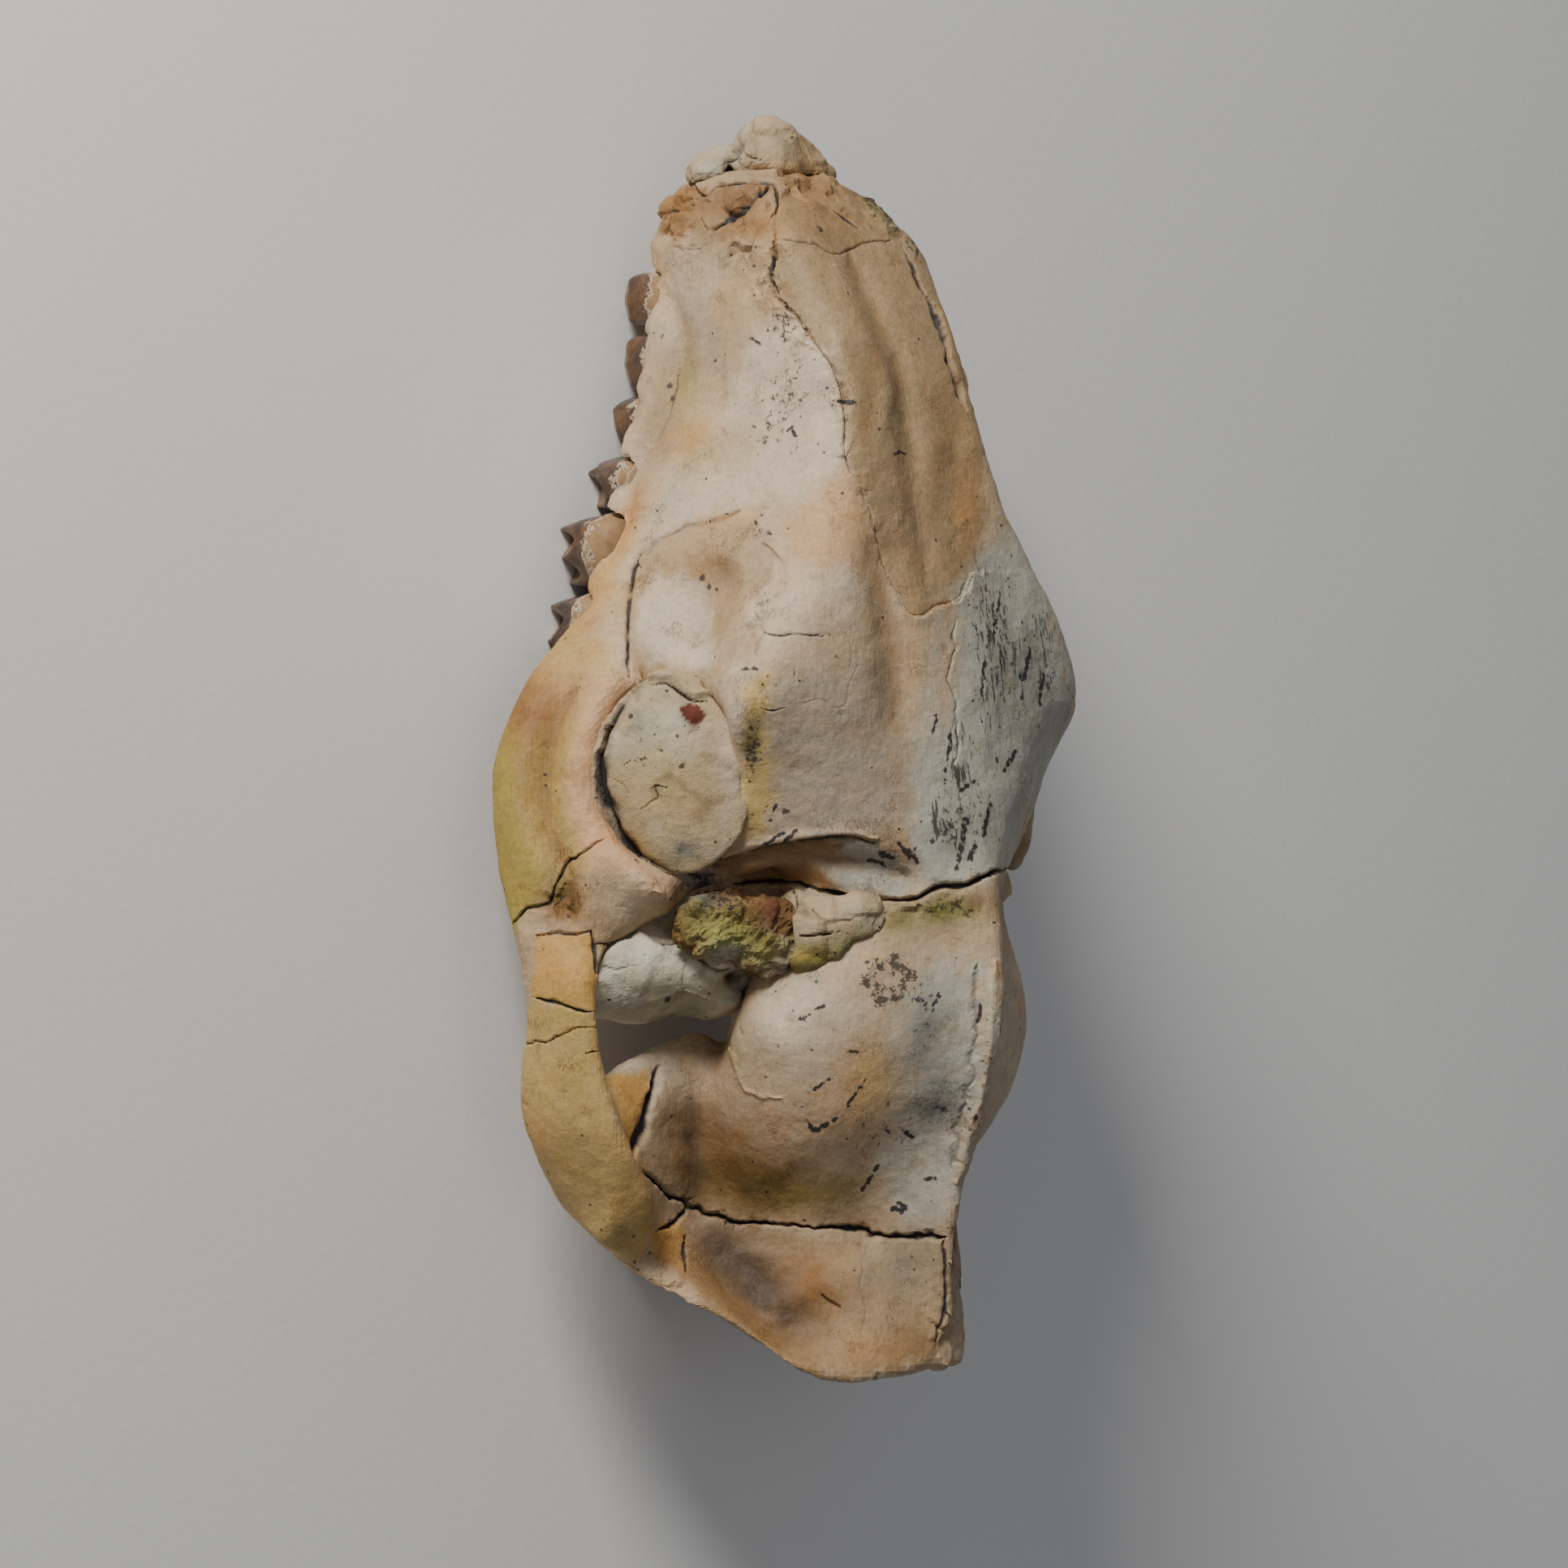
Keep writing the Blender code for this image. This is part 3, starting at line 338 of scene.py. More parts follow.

# Soft stains, with spots of painted shade and painted light among them.
SPOTS = (
    Spot("orange", 0.75, (846, 540), (34, 26), -35),
    Spot("orange", 0.8, (775, 640), (20, 62), 22),
    Spot("orange", 0.85, (705, 770), (24, 70), 28),
    Spot("ochre", 0.6, (745, 705), (15, 55), 25),
    Spot("orange", 0.8, (668, 860), (40, 40), 20),
    Spot("olive", 0.3, (676, 980), (26, 90)),
    Spot("pink", 0.6, (735, 850), (28, 40), 35),
    # Painted light: the postorbital bar made paler where it lies in shade.
    Spot("peach", 0.8, (775, 1105), (50, 36), 20),
    Spot("pale", 0.4, (775, 1108), (44, 34), 20),
    Spot("olive", 0.5, (842, 470), (26, 60)),
    Spot("olive", 0.35, (880, 560), (60, 30), -25),
    Spot("smudge", 0.22, (865, 415), (50, 45)),
    Spot("white", 0.5, (815, 370), (30, 60)),
    Spot("orange", 0.5, (812, 330), (10, 60), -8),
    Spot("orange", 0.6, (935, 272), (40, 26)),
    Spot("orange", 0.5, (1005, 262), (36, 34), 30),
    Spot("brown", 0.55, (880, 250), (34, 22), -20),
    Spot("fawn", 0.8, (1010, 262), (90, 60), 30),
    Spot("umber", 0.4, (1005, 250), (60, 40), 30),
    Spot("umber", 0.45, (930, 272), (30, 16)),
    Spot("peach", 0.8, (735, 845), (26, 30), 30),
    Spot("fawn", 0.7, (880, 290), (80, 60)),
    Spot("brown", 0.7, (1062, 235), (50, 16), 38),
    Spot("brown", 0.7, (985, 215), (36, 20), 30),
    Spot("umber", 0.7, (828, 258), (30, 34)),
    Spot("brown", 0.75, (912, 248), (44, 26), -20),
    Spot("umber", 0.7, (925, 280), (44, 16), -10),
    Spot("fawn", 0.6, (815, 500), (24, 90), 10),
    Spot("umber", 0.9, (655, 868), (38, 50), 25),
    Spot("hay", 0.6, (700, 800), (40, 40)),
    Spot("umber", 0.3, (640, 960), (20, 90)),
    Spot("fawn", 0.5, (1060, 1590), (130, 90)),
    # Painted shade in brown on the lower flank of the braincase.
    Spot("brown", 0.9, (915, 1440), (100, 50), 14),
    Spot("umber", 0.5, (1090, 1665), (80, 22), -10),
    Spot("smudge", 0.35, (1120, 1560), (50, 40)),
    # Painted shade on the wall below the temple's edge, over its brown colour.
    Spot("brown", 0.5, (965, 1068), (90, 18), -4),
    Spot("brown", 0.5, (1040, 1505), (120, 14), 4),
    Spot("fawn", 0.45, (1100, 880), (44, 90)),
    Spot("fawn", 0.5, (1075, 640), (20, 60)),
    Spot("green", 0.5, (1088, 262), (36, 12), 42),
    Spot("brown", 0.35, (1160, 540), (14, 130), 8),
    Spot("brown", 0.3, (1070, 500), (12, 120), 10),
    Spot("white", 0.4, (1020, 500), (12, 90), 5),
    Spot("orange", 0.45, (1190, 620), (18, 80)),
    Spot("orange", 0.4, (1165, 830), (16, 70), 8),
    Spot("orange", 0.3, (1125, 800), (14, 70), -6),
    Spot("tan", 0.55, (1085, 740), (18, 110), -10),
    Spot("white", 0.5, (1040, 725), (26, 40)),
    Spot("smudge", 0.2, (1075, 925), (50, 70)),
    Spot("tan", 0.4, (880, 690), (60, 30)),
    Spot("brown", 0.22, (880, 700), (30, 26)),
    Spot("white", 0.65, (903, 860), (12, 45), 4),
    Spot("white", 0.6, (900, 940), (11, 70), -3),
    Spot("green", 0.5, (928, 918), (11, 32), 3),
    Spot("ochre", 0.5, (862, 1052), (30, 16)),
    Spot("tan", 0.5, (960, 1060), (70, 14), -8),
    Spot("brown", 0.4, (900, 1072), (40, 14), -8),
    Spot("moss", 0.6, (1162, 1118), (28, 18)),
    Spot("moss", 0.4, (1105, 1140), (30, 16)),
    Spot("pink", 0.5, (960, 1270), (52, 50)),
    Spot("orange", 0.45, (1050, 1340), (80, 50), -20),
    Spot("orange", 0.3, (955, 1385), (90, 50)),
    Spot("yellow", 0.35, (1075, 1330), (24, 50)),
    Spot("olive", 0.5, (910, 1460), (70, 34), 8),
    # Painted shade on the lower flank of the braincase.
    Spot("brown", 0.4, (890, 1440), (60, 60)),
    Spot("moss", 0.3, (908, 1312), (8, 26), -20),
    Spot("smudge", 0.35, (1150, 1310), (44, 150)),
    Spot("smudge", 0.5, (1160, 1365), (34, 28), -10),
    Spot("smudge", 0.35, (1140, 1270), (22, 30)),
    Spot("smudge", 0.35, (1178, 1035), (34, 40), 20),
    Spot("smudge", 0.3, (1235, 800), (22, 130), -4),
    Spot("smudge", 0.35, (1275, 830), (18, 60)),
    Spot("pale", 0.3, (1240, 1280), (22, 120)),
    Spot("olive", 0.45, (695, 1250), (30, 24)),
    Spot("yellow", 0.4, (672, 1340), (18, 40)),
    Spot("olive", 0.5, (712, 1330), (16, 60), 10),
    Spot("orange", 0.35, (665, 1400), (24, 40)),
    Spot("hay", 0.9, (765, 1510), (34, 40)),
    Spot("orange", 0.7, (828, 1540), (22, 26)),
    # Painted shade in the valley at the rear.
    Spot("brown", 0.5, (945, 1580), (40, 60), -35),
    Spot("tan", 0.4, (1010, 1570), (60, 50)),
    Spot("orange", 0.3, (1040, 1660), (80, 26)),
    Spot("smudge", 0.3, (1066, 1570), (14, 40)),
    Spot("umber", 0.8, (700, 1110), (34, 36), 10),
    Spot("brown", 0.7, (694, 1116), (24, 28), 10),
    Spot("moss", 0.35, (690, 1090), (20, 26)),
    Spot("brown", 0.5, (828, 1105), (10, 30)),
    Spot("smudge", 0.75, (864, 1086), (28, 20)),
    Spot("brown", 0.6, (880, 1100), (26, 14)),
    Spot("moss", 0.8, (1172, 1122), (46, 16)),
    Spot("moss", 0.6, (1108, 1130), (30, 14)),
    Spot("brown", 0.4, (1200, 1112), (30, 16)),
    # Painted highlight on the bulge of the braincase.
    Spot("pale", 0.35, (962, 1262), (46, 40)),
    # Painted shade: dark spots in the valley at the rear and on the lower flank of the braincase.
    Spot("dark", 0.55, (1004, 1580), (50, 32), 30),
    Spot("umber", 0.5, (905, 1600), (110, 46), 38),
    Spot("umber", 0.75, (1000, 1580), (50, 36), 30),
    Spot("dark", 1.0, (930, 1582), (94, 34), 42),
    Spot("dark", 0.7, (885, 1540), (40, 28), 30),
    Spot("dark", 0.8, (852, 1415), (22, 80)),
    Spot("dark", 0.5, (940, 1470), (90, 26), 12),
    Spot("olive", 0.4, (1010, 1470), (70, 26), -8),
    Spot("umber", 0.8, (652, 872), (30, 40), 25),
    Spot("olive", 0.5, (612, 960), (20, 110)),
)

# Where black specks lie, as soft spots whose strength is how dense they are.
SPECKS = (
    Spot("black", 0.75, (965, 500), (55, 95), 10),
    Spot("black", 0.5, (900, 660), (70, 34)),
    Spot("black", 0.6, (940, 330), (40, 50)),
    Spot("black", 1.25, (1082, 254), (54, 13), 42),
    Spot("black", 1.1, (1124, 300), (12, 40), -25),
    Spot("black", 0.9, (965, 400), (22, 50), -20),
    Spot("black", 1.3, (928, 922), (13, 46), 3),
    Spot("black", 0.75, (918, 1016), (22, 34), 12),
    Spot("black", 0.5, (960, 850), (30, 40)),
    Spot("black", 0.68, (1225, 800), (60, 170), -4),
    Spot("black", 0.72, (1290, 830), (34, 80)),
    Spot("black", 0.75, (1190, 1000), (50, 90)),
    Spot("black", 0.5, (1225, 1120), (20, 60)),
    *(Spot("black", 1.7, (1095 + 24 * math.cos(k), 1207 + 24 * math.sin(k)), (15, 15)) for k in range(7)),
    Spot("black", 1.0, (1140, 1235), (16, 24)),
    Spot("black", 0.8, (1160, 1365), (36, 30)),
    Spot("black", 0.7, (1140, 1270), (24, 36)),
    Spot("black", 0.6, (1215, 1300), (14, 110), 2),
    Spot("black", 0.5, (1095, 1075), (50, 20), 8),
    Spot("black", 0.35, (800, 940), (60, 60)),
    Spot("black", 0.3, (1060, 560), (60, 160)),
    Spot("black", 0.35, (1110, 1580), (50, 70)),
    Spot("black", 1.05, (1175, 1120), (46, 16)),
    Spot("black", 1.05, (1168, 1022), (30, 30)),
    Spot("black", 1.1, (864, 1086), (28, 20)),
    Spot("black", 0.9, (700, 1112), (22, 30), 10),
    Spot("black", 0.3, (700, 1330), (50, 150)),
)

# Where dark streaks run along the skull.
STREAKS = (
    Spot("black", 1.15, (1225, 800), (50, 170), -4),
    Spot("black", 1.1, (1180, 940), (40, 120)),
    Spot("black", 1.0, (1285, 800), (30, 110), -6),
    Spot("black", 0.8, (1240, 1260), (26, 110)),
    Spot("black", 1.3, (1168, 1010), (36, 50)),
    Spot("black", 0.8, (1080, 1380), (90, 90)),
)

# Broad forms that the fine surface adds: raised or sunk soft spots, height in millimetres.
FORMS = (
    ((825, 765), (44, 58), 0, 1.3), ((905, 700), (40, 40), 0, -1.0), ((1040, 730), (40, 60), 0, 0.7),
    ((1098, 800), (26, 110), -6, -1.0), ((914, 930), (15, 110), 0, 0.8), ((735, 950), (16, 110), 0, 0.7),
    ((694, 1112), (24, 30), 10, -1.6), ((862, 452), (36, 60), 0, -0.4), ((838, 250), (26, 26), 0, 0.9),
    ((940, 224), (90, 12), 0, 0.7), ((960, 1270), (46, 44), 0, 0.6), ((1160, 1150), (30, 24), 0, -0.5),
    ((1130, 640), (20, 120), 4, 0.35), ((1084, 520), (14, 130), 8, 0.35), ((770, 1110), (30, 30), 0, 0.4),
)


def measured(rows):
    """Places in millimetres as places in the unit of the picture's pixels."""
    return tuple((a / PIXEL, b / PIXEL) for a, b in rows)


# Placed from behind, from the middle and from the floor: lines in millimetres, spots in the unit PIXEL.
BEHIND_LINES = (
    Line(measured(((0.5, 62), (-0.4, 55), (0.6, 48), (0, 40), (0.4, 33))), 1.2, -0.7, 0.0, 1.0),
    Line(measured(((-30, 36), (-22, 41), (-12, 40), (-4, 43), (4, 42), (13, 40), (23, 42), (31, 36))),
        0.3, 0.4, 0.6),
    Line(measured(((14, 60), (12, 54), (15, 48), (13, 42), (17, 36), (16, 30))), 0.3, 0.8, 0.9, 3.0),
    Line(measured(((-6, 34), (-12, 38), (-17, 46), (-15, 52), (-20, 58))), 0.28, 0.6, 0.8, 3.0),
    Line(measured(((-26, 30), (-20, 28), (-15, 22), (-16, 15))), 0.3, 0.5, 0.7, 2.0),
    Line(measured(((26, 31), (21, 27), (16, 23), (17, 14))), 0.3, 0.5, 0.6, 2.0),
    Line(measured(((36, 30), (40, 24), (38, 18))), 0.3, 0.6, 0.8, 2.0),
    Line(measured(((3, 50), (8, 47), (13, 48))), 0.25, 0.3, 0.5, 3.0),
    Line(measured(((-36, 24), (-30, 21), (-24, 23))), 0.3, 0.5, 0.7, 2.0),
)
BEHIND_SPOTS = (
    Spot("fawn", 0.7, (0, 330), (330, 150)),
    Spot("umber", 0.6, (90, 250), (90, 60), 20),
    Spot("umber", 0.5, (-110, 230), (80, 60), -20),
    Spot("hay", 0.6, (-60, 380), (90, 60), 30),
    Spot("grey", 0.5, (70, 400), (60, 60)),
    Spot("white", 0.4, (-140, 330), (50, 60)),
    Spot("dark", 0.9, (0, 165), (46, 46)),
    Spot("stone", 0.5, (0, 140), (30, 24)),
    Spot("green", 0.4, (180, 200), (50, 30), 30),
    Spot("smudge", 0.5, (-40, 300), (60, 26), 10),
    Spot("smudge", 0.4, (120, 330), (26, 50)),
    Spot("brown", 0.6, (-250, 170), (60, 40)),
    Spot("orange", 0.4, (270, 190), (60, 50)),
)

# Placed from below, from the middle and along the skull: lines in millimetres, spots in the unit PIXEL.
BELOW_LINES = (
    Line(measured(((0, -98), (0.5, -80), (-0.5, -60), (0.4, -40), (-0.3, -20), (0, -4))),
        0.3, 0.5, 0.7, 3.0),
    Line(measured(((-20, -16), (-10, -22), (0, -24), (10, -22), (20, -15))), 0.28, 0.4, 0.6, 3.0),
    Line(measured(((-13, -84), (-8, -78), (0, -80), (8, -78), (13, -85))), 0.28, 0.4, 0.6, 2.0),
    Line(measured(((-9, 46), (0, 49), (9, 46))), 0.3, 0.6, 0.8, 2.0),
    Line(measured(((-8, 68), (0, 70), (8, 67))), 0.3, 0.5, 0.7, 2.0),
    Line(measured(((12, 20), (20, 28), (24, 40), (30, 50), (38, 56))), 0.3, 0.6, 0.7, 3.0),
    Line(measured(((-12, 22), (-21, 30), (-23, 42), (-28, 52))), 0.3, 0.6, 0.7, 3.0),
    Line(measured(((10, -60), (14, -48), (12, -36), (18, -24))), 0.25, 0.4, 0.7, 3.0),
)
BELOW_SPOTS = (
    Spot("stone", 0.7, (0, -300), (110, 260)),
    Spot("tan", 0.6, (60, -500), (80, 150)),
    Spot("brown", 0.5, (-60, -200), (60, 120), 20),
    Spot("stone", 0.8, (0, 130), (130, 190)),
    Spot("green", 0.4, (80, 220), (60, 80)),
    Spot("umber", 0.6, (0, 480), (140, 150)),
    Spot("dark", 0.6, (0, 330), (60, 60)),
    Spot("hay", 0.6, (330, 200), (90, 260), 8),
    Spot("smudge", 0.4, (-160, 420), (90, 60)),
)


HIDDEN_LINES = (("behind", BEHIND_LINES), ("below", BELOW_LINES))

# Colours that a whole piece has, seen in the picture or not: colour, size in millimetres, seed, the noise
# where it starts and where it is full, and strength.
BONE_MOTTLES = (
    ("white", 22, 51, -0.1, 0.9, 0.55),
    ("tan", 30, 52, 0.0, 1.0, 0.7),
    ("ochre", 18, 53, 0.3, 1.2, 0.6),
    ("grey", 26, 54, 0.3, 1.2, 0.6),
    ("brown", 12, 55, 0.7, 1.6, 0.45),
)
LUMP_MOTTLES = (
    ("grey", 9, 101, 0.0, 1.0, 0.5),
    ("white", 6, 102, 0.2, 1.2, 0.45),
    ("tan", 7, 103, 0.3, 1.2, 0.5),
)


def linear(name):
    """A palette colour as linear red, green and blue, made richer because a render pales it."""
    values = np.array(PALETTE[name]) / 255
    values = np.where(values <= 0.04045, values / 12.92, ((values + 0.055) / 1.055) ** 2.4)
    return PAINT_DEPTH * values.mean() * (values / values.mean()) ** RICHNESS


def ease(low, high, values):
    """0 at low, 1 at high, with a smooth turn at both ends."""
    t = np.clip((values - low) / (high - low), 0, 1)
    return t * t * (3 - 2 * t)


def curve(points, steps=5):
    """Points of a smooth curve through the given ones."""
    points = np.array(points, float)
    padded = np.vstack([2 * points[0] - points[1], points, 2 * points[-1] - points[-2]])
    rows = []
    for a, b, c, d in zip(padded, padded[1:], padded[2:], padded[3:]):
        for t in np.arange(steps) / steps:
            square = 2 * a - 5 * b + 4 * c - d
            cube = 3 * b - a - 3 * c + d
            rows.append(0.5 * (2 * b + (c - a) * t + square * t * t + cube * t**3))
    return np.array(rows + [points[-1]])


def chance(cell, seed):
    """A repeatable number from 0 to 1 for each whole-number cell."""
    cell = cell.astype(np.uint64)
    n = cell[..., 0] * np.uint64(73856093)
    n ^= cell[..., 1] * np.uint64(19349663)
    n ^= cell[..., 2] * np.uint64(83492791)
    n ^= np.uint64(seed * 2654435761)
    n = (n ^ (n >> np.uint64(13))) * np.uint64(1274126177)
    n = (n ^ (n >> np.uint64(16))) & np.uint64(0xFFFFFFFF)
    return n.astype(float) / 0xFFFFFFFF


def ripple(points, size, seed, octaves=3):
    """Soft noise from about -1 to 1 with bumps of a size, in the points' own unit."""
    total = np.zeros(len(points))
    weight = 1.0
    for octave in range(octaves):
        at = points / size * 2**octave + 1000.0
        cell = np.floor(at).astype(np.int64)
        part = at - cell
        part = part * part * (3 - 2 * part)
        value = np.zeros(len(points))
        for corner in np.ndindex(2, 2, 2):
            share = np.prod(np.where(np.array(corner), part, 1 - part), axis=1)
            value += share * chance(cell + np.array(corner), seed + octave)
        total += weight * (2 * value - 1)
        weight *= 0.5
    return total


def pebbles(points, size, seed):
    """Distance to the nearest of scattered centres and to the next, its number and the way from it."""
    at = points / size + 1000.0
    cell = np.floor(at).astype(np.int64)
    first = np.full(len(points), 9.0)
    second = np.full(len(points), 9.0)
    number = np.zeros(len(points))
    away = np.zeros((len(points), 3))
    for step in np.ndindex(3, 3, 3):
        there = cell + np.array(step) - 1
        centre = there + np.column_stack([chance(there, seed + k) for k in range(3)])
        gap = np.linalg.norm(at - centre, axis=1)
        nearer = gap < first
        second = np.where(nearer, first, np.minimum(second, gap))
        number = np.where(nearer, chance(there, seed + 7), number)
        away = np.where(nearer[:, None], at - centre, away)
        first = np.where(nearer, gap, first)
    return first, second, number, away


def picture(points):
    """Where points, in millimetres, show in the picture, in its pixels."""
    away = points - AIM
    scale = PICTURE / FIELD * DISTANCE / (DISTANCE - away @ BACK)
    across = PICTURE / 2 + (away @ RIGHT) * scale
    return np.column_stack([across, PICTURE / 2 - (away @ UP) * scale])


def place_at(pixel, toward):
    """The place that shows at a pixel, at a distance from the aim towards the camera."""
    across, down = (np.array(pixel) - PICTURE / 2) * PIXEL
    return AIM + RIGHT * across - UP * down + BACK * toward


def line_gap(points, line):
    """Distance of flat points from a line of points."""
    gap = np.full(len(points), 1e9)
    for a, b in zip(line, line[1:]):
        run = b - a
        t = np.clip((points - a) @ run / max(run @ run, 1e-9), 0, 1)
        gap = np.minimum(gap, np.linalg.norm(points - a - t[:, None] * run, axis=1))
    return gap


def inside_gap(points, outline):
    """Distance of flat points from a closed outline, positive inside it."""
    outline = np.array(outline, float)
    inside = np.zeros(len(points), bool)
    for a, b in zip(outline, np.roll(outline, -1, axis=0)):
        crosses = (a[1] > points[:, 1]) != (b[1] > points[:, 1])
        reach = a[0] + (points[:, 1] - a[1]) * (b[0] - a[0]) / (b[1] - a[1] if b[1] != a[1] else 1e-9)
        inside ^= crosses & (points[:, 0] < reach)
    gap = line_gap(points, np.vstack([outline, outline[:1]]))
    return np.where(inside, gap, -gap)


def spot_share(points, centre, radii, turn):
    """1 at a soft spot's centre, falling to 0 past its radii."""
    angle = math.radians(turn)
    away = points - np.array(centre)
    along = away[:, 0] * math.cos(angle) + away[:, 1] * math.sin(angle)
    across = away[:, 1] * math.cos(angle) - away[:, 0] * math.sin(angle)
    return np.exp(-1.2 * ((along / radii[0]) ** 2 + (across / radii[1]) ** 2))


class Form:
    """A piece's mesh as arrays in millimetres, with what the picture shows of each of its points."""

    def __init__(self, piece):
        self.piece = piece
        self.read()

    def read(self):
        """Takes the mesh's points, normals and edges."""
        mesh = self.piece.data
        count = len(mesh.vertices)
        places = np.empty(count * 3)
        mesh.vertices.foreach_get("co", places)
        self.places = places.reshape(-1, 3) / MM
        normals = np.empty(count * 3)
        mesh.vertex_normals.foreach_get("vector", normals)
        self.normals = normals.reshape(-1, 3)
        edges = np.empty(len(mesh.edges) * 2, np.int64)
        mesh.edges.foreach_get("vertices", edges)
        self.edges = edges.reshape(-1, 2)
        self.links = np.bincount(self.edges.ravel(), minlength=count)

    def write(self):
        mesh = self.piece.data
        mesh.vertices.foreach_set("co", (self.places * MM).ravel())
        mesh.update()

    def push(self, rise):
        """Moves the points out along their normals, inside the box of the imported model."""
        self.places = np.clip(self.places + self.normals * rise[:, None], low_corner, high_corner)
        self.write()

    def settle(self, places):
        """Puts the points in new places, and finds their normals again."""
        self.places = places
        self.write()
        self.read()

    def spread(self, values, rounds):
        """Values smoothed along the surface."""
        a, b = self.edges.T
        for _ in range(rounds):
            if values.ndim == 1:
                total = np.bincount(a, values[b], len(values)) + np.bincount(b, values[a], len(values))
                values = (values + total / np.maximum(self.links, 1)) / 2
            else:
                values = np.column_stack([self.spread(column, 1) for column in values.T])
        return values

    def seen_from(self, camera):
        """1 where the piece itself doesn't hide a point from the camera, else 0."""
        tree = BVHTree.FromObject(self.piece, bpy.context.evaluated_depsgraph_get())
        start = self.places + RAY_START * self.normals
        toward = camera - start
        toward /= np.linalg.norm(toward, axis=1)[:, None]
        facing = (toward * self.normals).sum(1) > LEAST_FACING
        seen = np.zeros(len(start))
        for i in np.nonzero(facing)[0]:
            hit = tree.ray_cast(Vector(start[i] * MM), Vector(toward[i]))[0]
            seen[i] = hit is None
        return seen

    def look(self):
        """Finds each point's pixel, and how surely the picture shows it, for both sides of the skull."""
        camera = AIM + BACK * DISTANCE
        flip = np.array([-1, 1, 1])
        self.pixel = picture(self.places)
        self.mirror_pixel = picture(self.places * flip)
        self.seen, self.mirror_seen = (
            np.clip(SEEN_GAIN * self.spread(self.seen_from(place), SEEN_ROUNDS), 0, 1)
            for place in (camera, camera * flip))
        self.mirror_seen = self.mirror_seen * (1 - self.seen)

    def sides(self, view):
        """Flat places of the points, and how surely they are seen, from each side that a view stands for."""
        if view == "camera":
            return (self.pixel, self.seen), (self.mirror_pixel, self.mirror_seen)
        if view == "behind":
            seen = ease(0.2, 0.6, self.normals[:, 1]) * (self.places[:, 1] > REAR_START)
            return ((self.places[:, [0, 2]] / PIXEL, seen),)
        return ((self.places[:, [0, 1]] / PIXEL, ease(0.2, 0.6, -self.normals[:, 2])),)

    def floats(self, name, values):
        """Stores one number for each point, for the piece's material."""
        layer = self.piece.data.attributes.new(name, "FLOAT", "POINT")
        layer.data.foreach_set("value", values.astype(np.float32))

    def colours(self, name, values):
        """Stores one colour for each point, for the piece's material."""
        layer = self.piece.data.attributes.new(name, "FLOAT_COLOR", "POINT")
        rows = np.column_stack([values, np.ones(len(values))]).astype(np.float32)
        layer.data.foreach_set("color", rows.ravel())


def settled(piece):
    """Gives the piece the mesh that its modifiers make."""
    bpy.context.view_layer.update()
    graph = bpy.context.evaluated_depsgraph_get()
    piece.data = bpy.data.meshes.new_from_object(piece.evaluated_get(graph))
    piece.modifiers.clear()
    return piece


def even_copy(name, node, voxel, rounds, fatten=0.0, balls=()):
    """A new piece with a node's shape, as a fine even mesh with the facets smoothed away."""
    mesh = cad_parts[node].data.copy()
    mesh.materials.clear()
    work = bmesh.new()
    work.from_mesh(mesh)
    bmesh.ops.remove_doubles(work, verts=work.verts, dist=1e-6)
    for centre, radius in balls:
        place = Matrix.Translation(Vector(centre * MM))
        bmesh.ops.create_icosphere(work, subdivisions=3, radius=radius * MM, matrix=place)
    work.to_mesh(mesh)
    work.free()
    piece = bpy.data.objects.new(name, mesh)
    bpy.context.scene.collection.objects.link(piece)
    rounder = piece.modifiers.new("rounder", "SUBSURF")
    rounder.levels = rounder.render_levels = 2
    grow = piece.modifiers.new("grow", "DISPLACE")
    grow.mid_level = 0.0
    grow.strength = fatten * MM
    even = piece.modifiers.new("even", "REMESH")
    even.mode = "VOXEL"
    even.voxel_size = voxel * MM
    calm = piece.modifiers.new("calm", "SMOOTH")
    calm.factor = 0.5
    calm.iterations = rounds
    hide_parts(node)
    return settled(piece)


def lightened(piece, kept, most):
    """Brings a piece down to a number of triangles, with the kept points untouched."""
    free = piece.vertex_groups.new(name="free")
    free.add(np.nonzero(~kept)[0].tolist(), 1.0, "REPLACE")
    count = sum(len(face.vertices) - 2 for face in piece.data.polygons)
    fewer = piece.modifiers.new("fewer", "DECIMATE")
    fewer.ratio = min(1.0, most / count)
    fewer.vertex_group = free.name
    settled(piece)
    piece.vertex_groups.clear()


def refine(form, near):
    """Splits the edges between near points, so that narrow features have a fine mesh."""
    work = bmesh.new()
    work.from_mesh(form.piece.data)
    work.verts.ensure_lookup_table()
    edges = [e for e in work.edges if near[e.verts[0].index] and near[e.verts[1].index]]
    edges = [e for e in edges if e.calc_length() > FINE_EDGE * MM]
    bmesh.ops.subdivide_edges(work, edges=edges, cuts=1, use_grid_fill=True)
    bmesh.ops.triangulate(work, faces=[f for f in work.faces if len(f.verts) > 4])
    work.to_mesh(form.piece.data)
    work.free()
    form.read()
    form.look()


def on_lines(form, lines, margin, view="camera"):
    """True for points that lie within a margin of a line in the picture, in millimetres."""
    near = np.zeros(len(form.places), bool)
    for line in lines:
        path = curve(line.points)
        reach = (line.width * 1.5 + margin) / PIXEL
        low, high = path.min(0) - reach, path.max(0) + reach
        for pixel, seen in form.sides(view):
            some = np.nonzero((seen > 0.3) & (pixel > low).all(1) & (pixel < high).all(1))[0]
            near[some] |= line_gap(pixel[some], path) < reach
    return near


